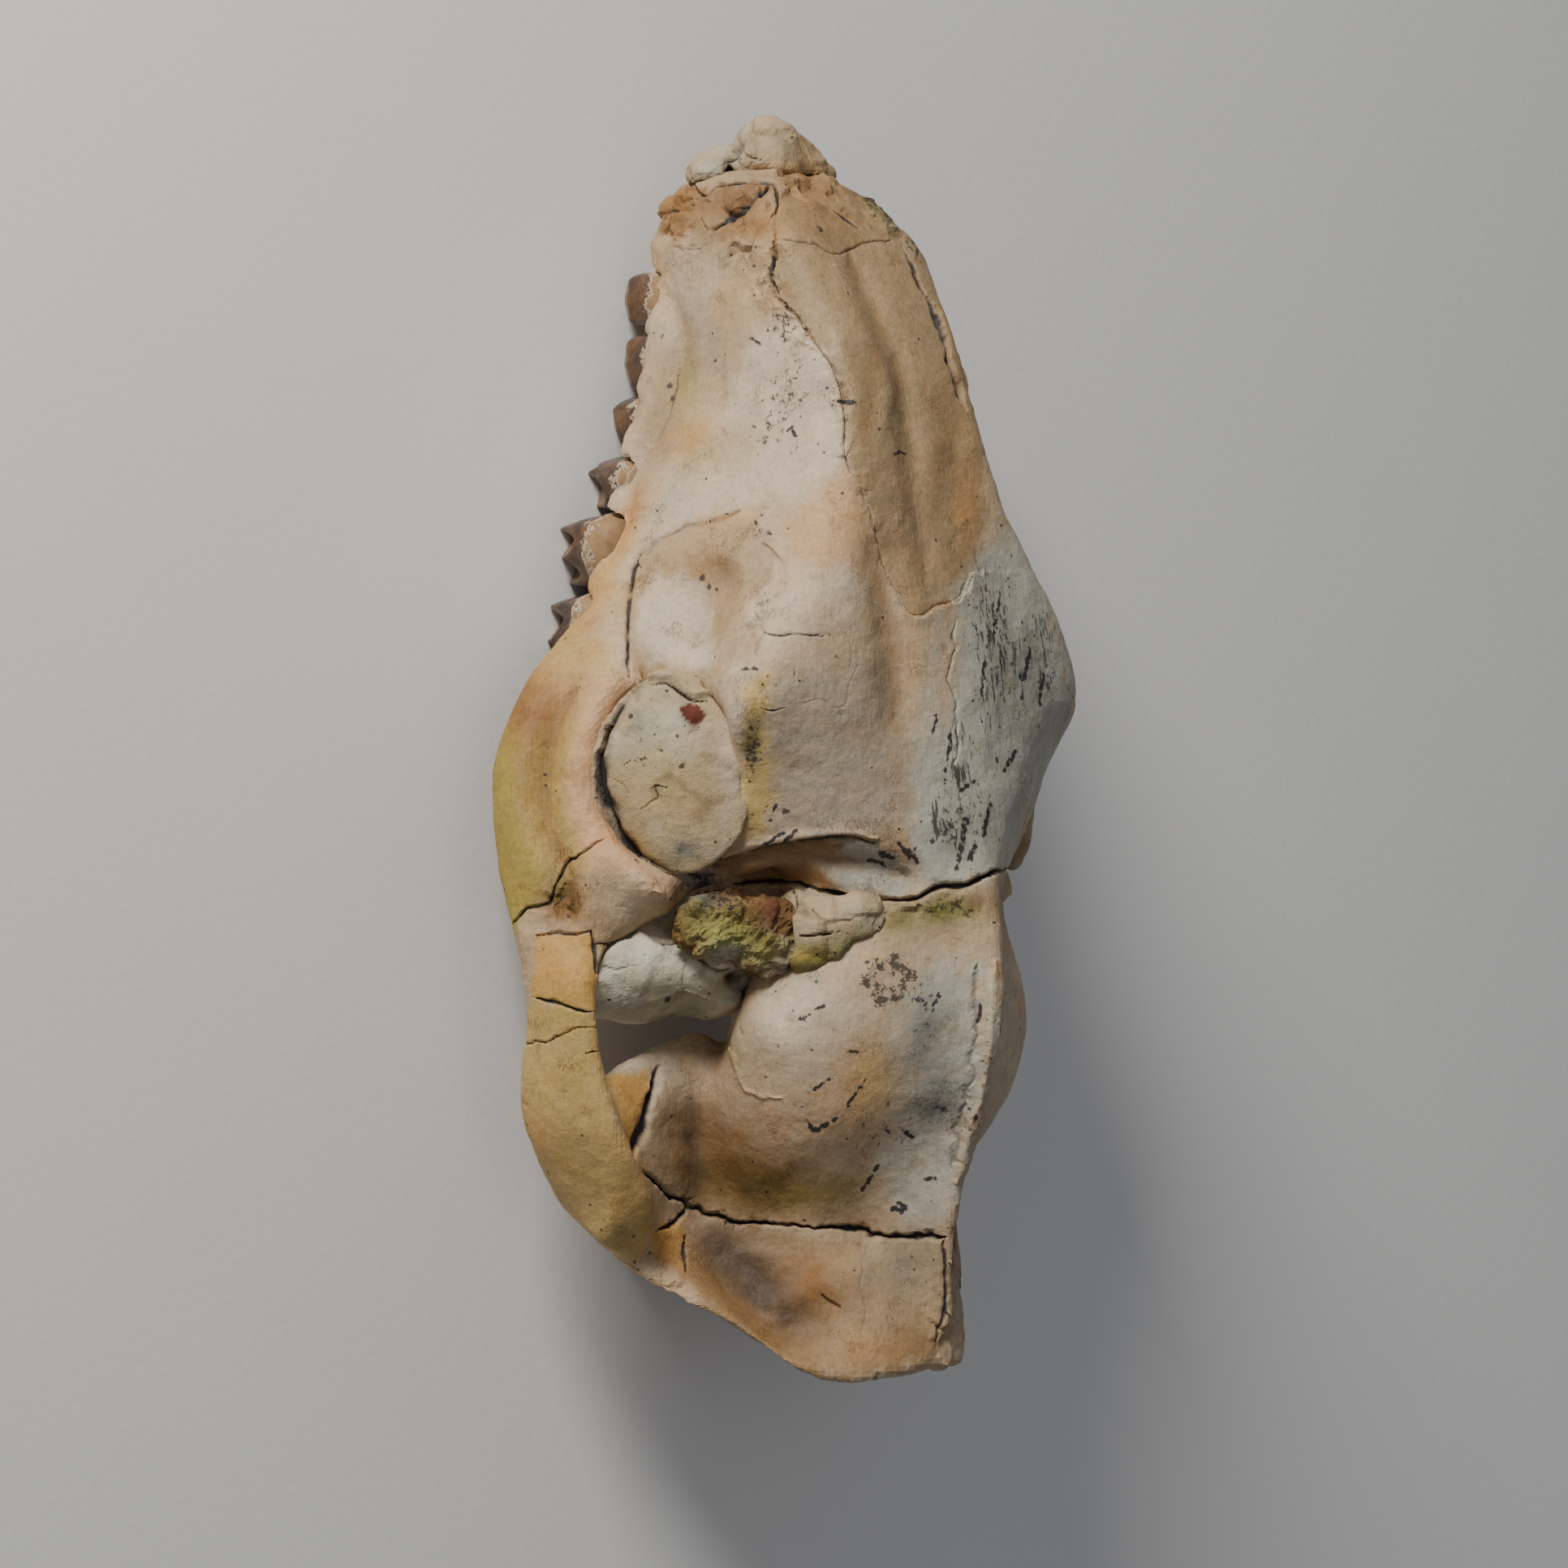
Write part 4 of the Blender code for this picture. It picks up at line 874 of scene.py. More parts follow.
def carve_lines(form, lines, view="camera"):
    """Depth and darkness of the lines at each point."""
    depth = np.zeros(len(form.places))
    dark = np.zeros(len(form.places))
    wobble = np.column_stack([ripple(form.places, 2.2, seed, 3) for seed in (11, 12)])
    breaks = np.clip(0.8 + 0.5 * ripple(form.places, 3.5, 13, 3), 0.1, 1.3)
    widths = np.clip(0.95 + 0.45 * ripple(form.places, 2.6, 14, 2), 0.45, 1.6)
    for line in lines:
        path = curve(line.points)
        reach = line.width * 3 / PIXEL + 8
        low, high = path.min(0) - reach, path.max(0) + reach
        for pixel, seen in form.sides(view):
            some = np.nonzero((seen > 0.02) & (pixel > low).all(1) & (pixel < high).all(1))[0]
            if not len(some):
                continue
            at = pixel[some] + line.wander * wobble[some]
            vary = widths[some] if line.width < SMOOTH_WIDTH else 1.0
            gap = line_gap(at, path) * PIXEL
            ends = np.minimum(np.linalg.norm(at - path[0], axis=1), np.linalg.norm(at - path[-1], axis=1))
            width = line.width * vary * (0.35 + 0.65 * ease(0, 22, ends))
            share = np.exp(-((gap / width) ** 2)) * seen[some]
            thin = np.exp(-((gap / (0.75 * width)) ** 2)) * seen[some] * breaks[some]
            depth[some] += line.depth * share
            dark[some] = np.maximum(dark[some], line.dark * np.clip(thin * 1.3, 0, 1))
    return depth, dark


def painted(form, tint, areas, view="camera"):
    """The tint with patches and spots laid over it, one after another."""
    edge = ripple(form.places, 2.5, 31, 4)
    blur = np.column_stack([ripple(form.places, 9.0, seed, 3) for seed in (32, 33)])
    for area in areas:
        colour = linear(area.colour)
        for side, (pixel, seen) in enumerate(form.sides(view)):
            strength = area.strength * (1.0 if side == 0 else 0.75)
            at = pixel + blur * (3 if side == 0 else 22)
            if isinstance(area, Patch):
                gap = inside_gap(at, area.points) + area.rough * edge
                share = ease(-area.soft, area.soft, gap)
            else:
                share = spot_share(at, area.centre, area.radii, area.turn) * (1 + 0.35 * edge)
            share = np.clip(share * strength * 1.25 * np.sqrt(seen), 0, 1)[:, None]
            tint = tint * (1 - share) + colour * share
    return tint


def mottled(form, base, rows):
    """A colour with others over it by chance, each with its size, seed, limits of the noise and strength."""
    tint = np.tile(linear(base), (len(form.places), 1))
    for colour, size, seed, low, high, strength in rows:
        share = strength * ease(low, high, ripple(form.places, size, seed, 4))[:, None]
        tint = tint * (1 - share) + linear(colour) * share
    return tint


def raised(form, forms):
    """Height of broad soft forms at each point."""
    rise = np.zeros(len(form.places))
    for centre, radii, turn, height in forms:
        for pixel, seen in form.sides("camera"):
            rise += height * spot_share(pixel, centre, radii, turn) * seen
    return rise


def density(form, spots):
    """How dense specks or streaks are at each point."""
    total = np.zeros(len(form.places))
    for spot in spots:
        for pixel, seen in ((form.pixel, form.seen), (form.mirror_pixel, form.mirror_seen * 0.8)):
            share = spot.strength * spot_share(pixel, spot.centre, spot.radii, spot.turn) * seen
            total = np.maximum(total, share)
    return np.minimum(total, MOST_SPECKS)


def stroke_marks(form):
    """Darkness of the short manganese strokes."""
    dark = np.zeros(len(form.places))
    wobble = np.column_stack([ripple(form.places, 0.9, seed, 3) for seed in (41, 42)]) * 1.7
    breaks = 0.8 + 0.9 * ripple(form.places, 0.7, 43, 3)
    for start, end, width in STROKES:
        path = np.array([start, end], float)
        near = np.nonzero((np.abs(form.pixel - path.mean(0)) < 45).all(1) & (form.seen > 0.1))[0]
        gap = line_gap(form.pixel[near] + wobble[near], path) * PIXEL
        dark[near] = np.maximum(dark[near], ease(width * 1.0, width * 0.3, gap) * breaks[near])
    return dark


def slanted(number, away):
    """Height of each pebble's own slanting face."""
    lean = np.column_stack([np.sin(40 * number), np.cos(57 * number), np.sin(83 * number + 1)])
    return (lean * away).sum(1)


def shards(form, size, seed):
    """Angular relief from about -1 to 1, like a broken surface."""
    near, next_near, number, away = pebbles(form.places, size, seed)
    edge = np.clip((next_near - near) / 0.2, 0, 1)
    fine = ripple(form.places, 1.5, seed + 9, 2)
    return 0.8 * (number - 0.5) + 1.6 * slanted(number, away) * edge + 0.2 * fine


def filled_pocket(form):
    """Smooths the filled pocket of the rear wing, on both sides, into a broad valley."""
    form.look()
    form.seen = np.clip(2.5 * form.spread(form.seen, 40), 0, 1)
    form.mirror_seen = np.clip(2.5 * form.spread(form.mirror_seen, 40), 0, 1) * (1 - form.seen)
    share = sum(spot_share(pixel, *REAR_PIT) * seen for pixel, seen in form.sides("camera"))
    share = np.clip(1.6 * share, 0, 1)[:, None]
    form.settle(form.places + share * (form.spread(form.places, REAR_PIT_ROUNDS) - form.places))


def nose_step(form):
    """Height of the step along the nose seam, of which the left side stands up."""
    seam = curve(LINES["nose_seam"].points)
    gap = line_gap(form.pixel, seam) * PIXEL
    right_side = np.vstack([seam, [(1300, 700), (1300, 200), (955, 200)]])
    left = inside_gap(form.pixel, right_side) < 0
    return np.where(left, 0.45 * np.exp(-gap / 3.0), -0.15 * np.exp(-gap / 3.0)) * form.seen


def carved_bone(form, lines):
    """Pushes the bone's fine relief in, and gives the darkness that goes with it."""
    depth, dark = carve_lines(form, lines)
    for view, more_lines in HIDDEN_LINES:
        more_depth, more_dark = carve_lines(form, more_lines, view)
        depth += more_depth
        dark = np.maximum(dark, more_dark)
    rise = nose_step(form) - depth
    rise += 0.28 * ripple(form.places, 9.0, 61, 3) + 0.07 * ripple(form.places, 1.7, 62, 3)
    dark = np.maximum(dark, stroke_marks(form))
    rise += density(form, BROKEN) * shards(form, 4.0, 65)
    near, _, number, _ = pebbles(form.places, 5.5, 63)
    pits = (number > 0.86) * np.exp(-((near / 0.09) ** 2))
    form.push(rise - 0.5 * pits)
    return np.maximum(dark, 0.7 * pits)


def build_bone():
    """The cranium's surface: sutures, cracks, pits and stains on the fused bones, with painted shade and
    painted light in places.
    """
    balls = [(place_at(pixel, toward), radius) for pixel, toward, radius in POCKET_FILL]
    balls += [(centre * (-1, 1, 1), radius) for centre, radius in balls]
    piece = even_copy("cranium_bone", "cranium", BONE_VOXEL, 5, BONE_GROWTH, balls)
    form = Form(piece)
    filled_pocket(form)
    broad = form.spread(form.normals, 14)
    broad /= np.linalg.norm(broad, axis=1)[:, None]
    form.settle(form.places + broad * (raised(form, FORMS) - carve_lines(form, FOLDS)[0])[:, None])
    form.look()
    lines = list(LINES.values())
    fine = [line for line in lines if line.width < 1.0]
    fine += [Line((start, end), width, 0.0) for start, end, width in STROKES]
    for margin in (0.9, 0.3):
        refine(form, on_lines(form, fine, margin))
    for view, more_lines in HIDDEN_LINES:
        refine(form, on_lines(form, more_lines, 0.6, view))
    hollow = ((form.spread(form.places, 16) - form.places) * form.normals).sum(1)
    dark = carved_bone(form, lines)
    tint = mottled(form, "pink", BONE_MOTTLES)
    for view, areas in (("behind", BEHIND_SPOTS), ("below", BELOW_SPOTS), ("camera", (*PATCHES, *SPOTS))):
        tint = painted(form, tint, areas, view)
    # Darker in hollows, partly dirt and partly painted shade, and a little paler on ridges.
    hollow_shade_and_dirt = ease(0.02, 0.45, hollow)[:, None] * 0.6
    tint = tint * (1 - hollow_shade_and_dirt) + np.minimum(tint, linear("brown")) * hollow_shade_and_dirt
    form.colours("tint", tint * (1 + 0.05 * ease(0.02, 0.4, -hollow))[:, None])
    form.floats("black", dark)
    form.floats("specks", np.maximum(density(form, SPECKS), 0.12 + 0.12 * ripple(form.places, 25, 71, 2)))
    form.floats("streaks", density(form, STREAKS))
    lightened(piece, dark > KEPT_DARKNESS, BONE_TRIANGLES)
    piece.data.materials.append(mineral_material("fossil_bone", 1.0, 0.2, 0.5, 0.72))
    return piece


class Surface:
    """A material that is put together node by node."""

    def __init__(self, name, roughness=0.6):
        self.material = bpy.data.materials.new(name)
        self.material.use_nodes = True
        self.tree = self.material.node_tree
        self.shader = self.tree.nodes["Principled BSDF"]
        self.shader.inputs["Roughness"].default_value = roughness
        self.place = self.add("ShaderNodeTexCoord").outputs["Object"]

    def add(self, kind, inputs=None, **settings):
        node = self.tree.nodes.new(kind)
        for name, value in settings.items():
            setattr(node, name, value)
        for key, value in (inputs or {}).items():
            if isinstance(value, bpy.types.NodeSocket):
                self.tree.links.new(value, node.inputs[key])
            else:
                node.inputs[key].default_value = value
        return node

    def attribute(self, name, output="Fac"):
        return self.add("ShaderNodeAttribute", attribute_name=name).outputs[output]

    def stretched(self, scale):
        return self.add("ShaderNodeMapping", {"Vector": self.place, "Scale": scale}).outputs["Vector"]

    def noise(self, size, detail=4.0, rough=0.6, place=None):
        """Noise from 0 to 1 with features of a size in millimetres."""
        inputs = {"Vector": place or self.place, "Scale": 1 / (size * MM)}
        inputs |= {"Detail": detail, "Roughness": rough}
        return self.add("ShaderNodeTexNoise", inputs).outputs["Fac"]

    def cells(self, size, place=None, feature="F1"):
        inputs = {"Vector": place or self.place, "Scale": 1 / (size * MM)}
        return self.add("ShaderNodeTexVoronoi", inputs, feature=feature)

    def range(self, value, low, high, to_low=0.0, to_high=1.0):
        inputs = {"Value": value, "From Min": low, "From Max": high, "To Min": to_low, "To Max": to_high}
        return self.add("ShaderNodeMapRange", inputs, clamp=True).outputs["Result"]

    def math(self, operation, a, b=0.0):
        return self.add("ShaderNodeMath", {0: a, 1: b}, operation=operation).outputs[0]

    def mix(self, share, a, b, blend="MIX"):
        node = self.add("ShaderNodeMix", {0: share, 6: a, 7: b}, data_type="RGBA", blend_type=blend)
        return node.outputs[2]

    def specks(self, size, radius, amount, place=None):
        """1 on irregular dots, which more cells hold where the amount is high."""
        cells = self.cells(size, place)
        number = self.add("ShaderNodeSeparateColor", {0: cells.outputs["Color"]}).outputs[0]
        there = self.math("LESS_THAN", number, amount)
        ragged = self.range(self.noise(size * 0.22, 3.0), 0.3, 0.7, 0.45, 1.35)
        reach = self.math("MULTIPLY", ragged, radius)
        dot = self.math("SUBTRACT", reach, cells.outputs["Distance"])
        return self.math("MULTIPLY", there, self.range(dot, 0.0, 0.05))

    def finish(self, colour, roughness, height, depth):
        """Joins up the shader. Height is in parts of a depth in millimetres."""
        self.tree.links.new(colour, self.shader.inputs["Base Color"])
        self.tree.links.new(roughness, self.shader.inputs["Roughness"])
        bump = self.add("ShaderNodeBump", {"Strength": 1.0, "Distance": depth * MM, "Height": height})
        self.tree.links.new(bump.outputs["Normal"], self.shader.inputs["Normal"])
        return self.material


def rgba(name):
    return (*linear(name), 1.0)


def mineral_material(name, fibres, depth, glossy, matt):
    """Mineralised bone or sediment, mottled and with manganese specks and streaks. Fibres run along it."""
    s = Surface(name)
    along = s.stretched((1.0, 0.16, 1.0))
    grain = s.noise(1.0, 6.0, 0.7)
    fibre = s.noise(0.5, 4.0, 0.6, along)
    colour = s.attribute("tint", "Color")
    for size, low, high, shade in (
            (8.0, 0.46, 0.7, (1.22, 1.2, 1.17, 1.0)), (4.5, 0.5, 0.72, (1.0, 0.86, 0.66, 1.0)),
            (5.5, 0.52, 0.74, (0.8, 0.82, 0.84, 1.0))):
        part = s.range(s.noise(size, 6.0, 0.66), low, high, 0.0, 0.75)
        colour = s.mix(part, colour, s.mix(1.0, colour, shade, "MULTIPLY"))
    fibre_shade = s.range(fibre, 0.3, 0.7, 1.0 - 0.1 * fibres, 1.0 + 0.06 * fibres)
    shade = s.math("MULTIPLY", s.range(grain, 0.3, 0.7, 0.82, 1.12), fibre_shade)
    grey = s.add("ShaderNodeCombineColor", {0: shade, 1: shade, 2: shade}).outputs[0]
    colour = s.mix(1.0, colour, grey, "MULTIPLY")

    amount = s.attribute("specks")
    dots = s.specks(1.7, 0.2, s.math("MULTIPLY", amount, 0.5))
    blots = s.specks(4.2, 0.17, s.math("MULTIPLY", amount, 0.4))
    crowd = s.math("ADD", s.noise(1.2, 8.0, 0.75), s.math("MULTIPLY", s.math("SUBTRACT", amount, 1.0), 0.19))
    crowd = s.range(crowd, 0.5, 0.535)
    drawn = s.noise(1.3, 6.0, 0.7, s.stretched((1.4, 0.16, 1.4)))
    streaks = s.math("ADD", drawn, s.math("MULTIPLY", s.math("SUBTRACT", s.attribute("streaks"), 1.0), 0.2))
    streaks = s.range(streaks, 0.535, 0.58)
    marks = s.math("MAXIMUM", s.math("MAXIMUM", dots, blots), s.math("MAXIMUM", crowd, streaks))
    haze = s.math("MULTIPLY", s.range(s.noise(2.0, 6.0, 0.75), 0.47, 0.62), s.math("MULTIPLY", amount, 0.55))
    colour = s.mix(haze, colour, rgba("smudge"), "DARKEN")
    colour = s.mix(s.math("MULTIPLY", marks, 0.86), colour, rgba("black"))

    wave = s.add("ShaderNodeTexNoise", {"Scale": 220.0}).outputs["Color"]
    bend = s.add("ShaderNodeVectorMath", {0: wave, "Scale": 0.006}, operation="SCALE").outputs[0]
    bent = s.add("ShaderNodeVectorMath", {0: s.place, 1: bend}, operation="ADD").outputs[0]
    net = s.cells(11.0, bent, "DISTANCE_TO_EDGE").outputs["Distance"]
    hair = s.math("MULTIPLY", s.range(net, 0.004, 0.016, 1.0, 0.0), s.range(s.noise(9.0), 0.5, 0.62))
    colour = s.mix(s.math("MULTIPLY", hair, 0.55), colour, rgba("dark"))
    # Dark lines: cracks, gaps and pits, and bands of painted shade below ridges and along the eye's rim.
    lines = s.range(s.math("ADD", s.attribute("black"), s.range(grain, 0.3, 0.7, -0.12, 0.12)), 0.15, 0.55)
    colour = s.mix(s.math("MULTIPLY", lines, 0.95), colour, rgba("black"))

    roughness = s.range(s.noise(3.0, 4.0), 0.3, 0.7, glossy, matt)
    height = s.math("ADD", s.math("MULTIPLY", grain, 0.7), s.math("MULTIPLY", fibre, 0.35 * fibres))
    height = s.math("ADD", height, s.math("MULTIPLY", s.noise(3.2, 6.0, 0.7), 1.3))
    height = s.math("SUBTRACT", height, s.math("MULTIPLY", s.math("MAXIMUM", marks, hair), 0.3))
    return s.finish(colour, roughness, height, depth)


# Cheek teeth of one side, front to back: name, centre (out, along), length, width, all in millimetres, and
# turn in degrees.
TEETH = (
    ("P1", (15.7, -75.8), 9.4, 6.4, 2.0),
    ("P2", (15.6, -65.2), 10.2, 7.4, 8.0),
    ("P3", (17.8, -54.8), 9.8, 8.6, 20.0),
    ("P4", (21.0, -44.7), 9.0, 10.6, 20.0),
    ("M1", (26.8, -33.1), 12.2, 12.6, 12.0),
    ("M2", (29.0, -18.6), 14.8, 14.6, 6.0),
    ("M3", (29.2, -1.2), 18.0, 15.4, -3.0),
)
CROWN = 9.0
ROOT_LEVEL = 1.38
FACE_SPREAD = 0.84
SQUARENESS = 0.66
TOOTH_SIDES = 88
TOOTH_RINGS = 16
TOOTH_LEVELS = 18


def crest_gap(out, along, halves, crescents):
    """Distance, in tooth widths, from the sharp crests of a worn face, and the outer crest's place."""
    part = (along * halves) % 1.0 - 0.5
    bend = np.abs(2 * part)
    outer = 0.10 + 0.30 * bend**1.25
    gap = np.abs(out - outer)
    if crescents:
        inner = -0.36 + 0.40 * bend**1.9
        gap = np.minimum(gap, np.abs(out - inner))
    return gap, outer


def chewing_face(out, along, length, width, kind):
    """Millimetres of the worn face above the resting plane, at shares of the tooth's width and length."""
    halves = 2 if kind == "M" else 1
    crescents = kind != "blade"
    gap, outer = crest_gap(out, along + 0.5, halves, crescents)
    basin = 1.5 * (1 - np.exp(-((gap / 0.10) ** 2)))
    wall = np.maximum(0, out - outer - 0.05) * width * 0.95
    if kind == "blade":
        slope = 0.75 * np.abs(along) ** 1.2 * length + 0.9 * np.maximum(0, 0.10 - out) * width
        return np.maximum(slope + 0.3 * basin, 0) + wall
    valley = 1.6 * np.exp(-((np.abs(along) / 0.06) ** 2)) * (out < -0.1) if halves == 2 else 0.0
    return basin + wall + valley


def build_tooth(name, centre, length, width, turn, mirror):
    """A worn crown with sharp crests and hollows between them, standing in its socket."""
    kind = "blade" if name in ("P1", "P2", "P3") else name[0]
    ribs = 2 if kind == "M" else 1
    angles = np.arange(TOOTH_SIDES) / TOOTH_SIDES * 2 * math.pi
    c, n = np.cos(angles), np.sin(angles)
    out_rim = np.sign(c) * np.abs(c) ** SQUARENESS / 2
    along_rim = np.sign(n) * np.abs(n) ** SQUARENESS / 2
    ribbed = 0.045 * np.cos(2 * math.pi * ribs * along_rim)
    swell = np.where(c > 0.15, ribbed, -0.02 * np.cos(4 * math.pi * along_rim))
    rows, worn, necks = [], [], []
    for ring in range(TOOTH_RINGS):
        share = (ring + 0.5) / TOOTH_RINGS
        out, along = (out_rim + swell) * share, along_rim * share
        up = chewing_face(out, along, length, width, kind)
        rows.append(np.column_stack([out * width * FACE_SPREAD, along * length * FACE_SPREAD, up]))
        worn.append(np.full(TOOTH_SIDES, 1.0))
        necks.append(np.zeros(TOOTH_SIDES))
    rim_up = np.minimum(rows[-1][:, 2], 0.62 * CROWN)
    rows[-1][:, 2] = rim_up
    for level in range(1, TOOTH_LEVELS + 1):
        t = level / TOOTH_LEVELS
        up = rim_up + (ROOT_LEVEL * CROWN - rim_up) * t
        height = up / CROWN
        grow = FACE_SPREAD + (1 - FACE_SPREAD) * np.sin(np.minimum(height, 1) * math.pi / 2)
        grow -= 0.16 * np.maximum(0, height - 1.0) / 0.38
        grow += 0.035 * np.exp(-(((height - 0.93) / 0.09) ** 2))
        bulge = out_rim + swell * np.maximum(0, 1.3 - height)
        rows.append(np.column_stack([bulge * width * grow, along_rim * length * grow, up]))
        worn.append(np.zeros(TOOTH_SIDES))
        necks.append(height)
    points = np.vstack([*rows, rows[0].mean(0), rows[-1].mean(0)])
    angle = math.radians(turn)
    spun = points.copy()
    spun[:, 0] = points[:, 0] * math.cos(angle) - points[:, 1] * math.sin(angle) + centre[0]
    spun[:, 1] = points[:, 0] * math.sin(angle) + points[:, 1] * math.cos(angle) + centre[1] + CENTRE_SHIFT
    spun[:, 2] = np.maximum(spun[:, 2], 0.0)
    sides = [(i, (i + 1) % TOOTH_SIDES) for i in range(TOOTH_SIDES)]
    last = (len(rows) - 1) * TOOTH_SIDES
    tip, root = last + TOOTH_SIDES, last + TOOTH_SIDES + 1
    faces = [(a + j, a + TOOTH_SIDES + j, a + TOOTH_SIDES + i, a + i)
             for a in range(0, last, TOOTH_SIDES) for i, j in sides]
    for i, j in sides:
        faces += [(j, i, tip), (last + i, last + j, root)]
    if mirror:
        spun[:, 0] *= -1
        faces = [tuple(reversed(f)) for f in faces]
    side = "right" if mirror else "left"
    mesh = bpy.data.meshes.new(f"crown_{name}_{side}")
    mesh.from_pydata((spun * MM).tolist(), [], faces)
    piece = bpy.data.objects.new(f"crown_{name}_{side}", mesh)
    bpy.context.scene.collection.objects.link(piece)
    mesh.shade_smooth()
    form = Form(piece)
    rise = 0.10 * ripple(form.places, 2.4, 81, 3) + 0.03 * ripple(form.places, 0.7, 82, 2)
    form.places += form.normals * rise[:, None]
    form.places[:, 2] = np.maximum(form.places[:, 2], 0.0)
    form.write()
    form.floats("worn", np.concatenate([*worn, [1.0], [0.0]]))
    form.floats("neck", np.concatenate([*necks, [0.0], [ROOT_LEVEL]]))
    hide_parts(f"tooth_{name}_{side}")
    return piece


def enamel_material():
    """Dark brown, faintly see-through enamel with amber parts, pale broken edges and matt worn hollows."""
    s = Surface("fossil_enamel", 0.25)
    neck, worn = s.attribute("neck"), s.attribute("worn")
    dark, amber = (0.046, 0.024, 0.013, 1.0), (0.15, 0.068, 0.02, 1.0)
    colour = s.mix(s.range(s.noise(5.0, 4.0), 0.42, 0.68), dark, amber)
    colour = s.mix(s.range(s.noise(1.2, 4.0), 0.5, 0.8, 0.0, 0.5), colour, (0.20, 0.13, 0.09, 1.0))
    ragged = s.math("ADD", neck, s.range(s.noise(1.8, 5.0, 0.7), 0.2, 0.8, -0.36, 0.36))
    root = s.range(ragged, 0.95, 1.05)
    pale = s.math("MULTIPLY", s.range(ragged, 0.88, 0.94), s.range(ragged, 0.96, 1.02, 1.0, 0.0))
    colour = s.mix(s.math("MULTIPLY", root, 0.95), colour, s.mix(s.noise(2.0), rgba("brown"), rgba("tan")))
    colour = s.mix(s.math("MULTIPLY", pale, 0.9), colour, rgba("white"))
    dentine = s.math("MULTIPLY", worn, s.range(s.noise(1.0, 4.0), 0.3, 0.7, 0.55, 0.95))
    colour = s.mix(s.math("MULTIPLY", dentine, 0.65), colour, (0.30, 0.20, 0.11, 1.0))
    matt = s.math("ADD", s.math("MULTIPLY", worn, 0.3), s.math("MAXIMUM", pale, root))
    roughness = s.range(matt, 0.0, 1.0, 0.24, 0.62)
    s.shader.inputs["Subsurface Weight"].default_value = 0.12
    s.shader.inputs["Subsurface Scale"].default_value = 0.002
    return s.finish(colour, roughness, s.noise(0.5, 4.0), 0.08)


# Sediment and broken bits. Waves and cobbles give sizes and heights in millimetres, tilt how angular
# it breaks.
Lump = namedtuple(
    "Lump", "node piece slot base rounds waves cobbles tilt areas lines forms specks",
    defaults=((), (), (), ()))
BY_THE_EYE = tuple(spot for spot in SPOTS if 895 < spot.centre[0] < 945 and 840 < spot.centre[1] < 1045)
FILL_LINES = (
    # The crevice along the eye's rim: a carved gap, painted dark as the rim's shadow.
    Line(EYE_RIM, 0.8, 2.0, 0.95, 1.0),
    Line(EYE_RIM, 2.8, 1.2),
    LINES["eye_bone_ridge"],
    LINES["eye_bone_shadow"],
    Line(((768, 941), (778, 936), (787, 940)), 0.2, 0.25, 0.6),
    Line(((791, 996), (802, 990), (810, 983), (806, 970), (820, 971)), 0.22, 0.3, 0.8),
    Line(((752, 960), (766, 966), (774, 976)), 0.2, 0.2, 0.4),
    Line(((846, 922), (850, 905), (862, 900)), 0.2, 0.15, 0.3),
)
RUSTY_BIT = ((838, 872), (848, 866), (860, 870), (873, 878), (868, 888), (856, 897), (846, 890), (840, 884))
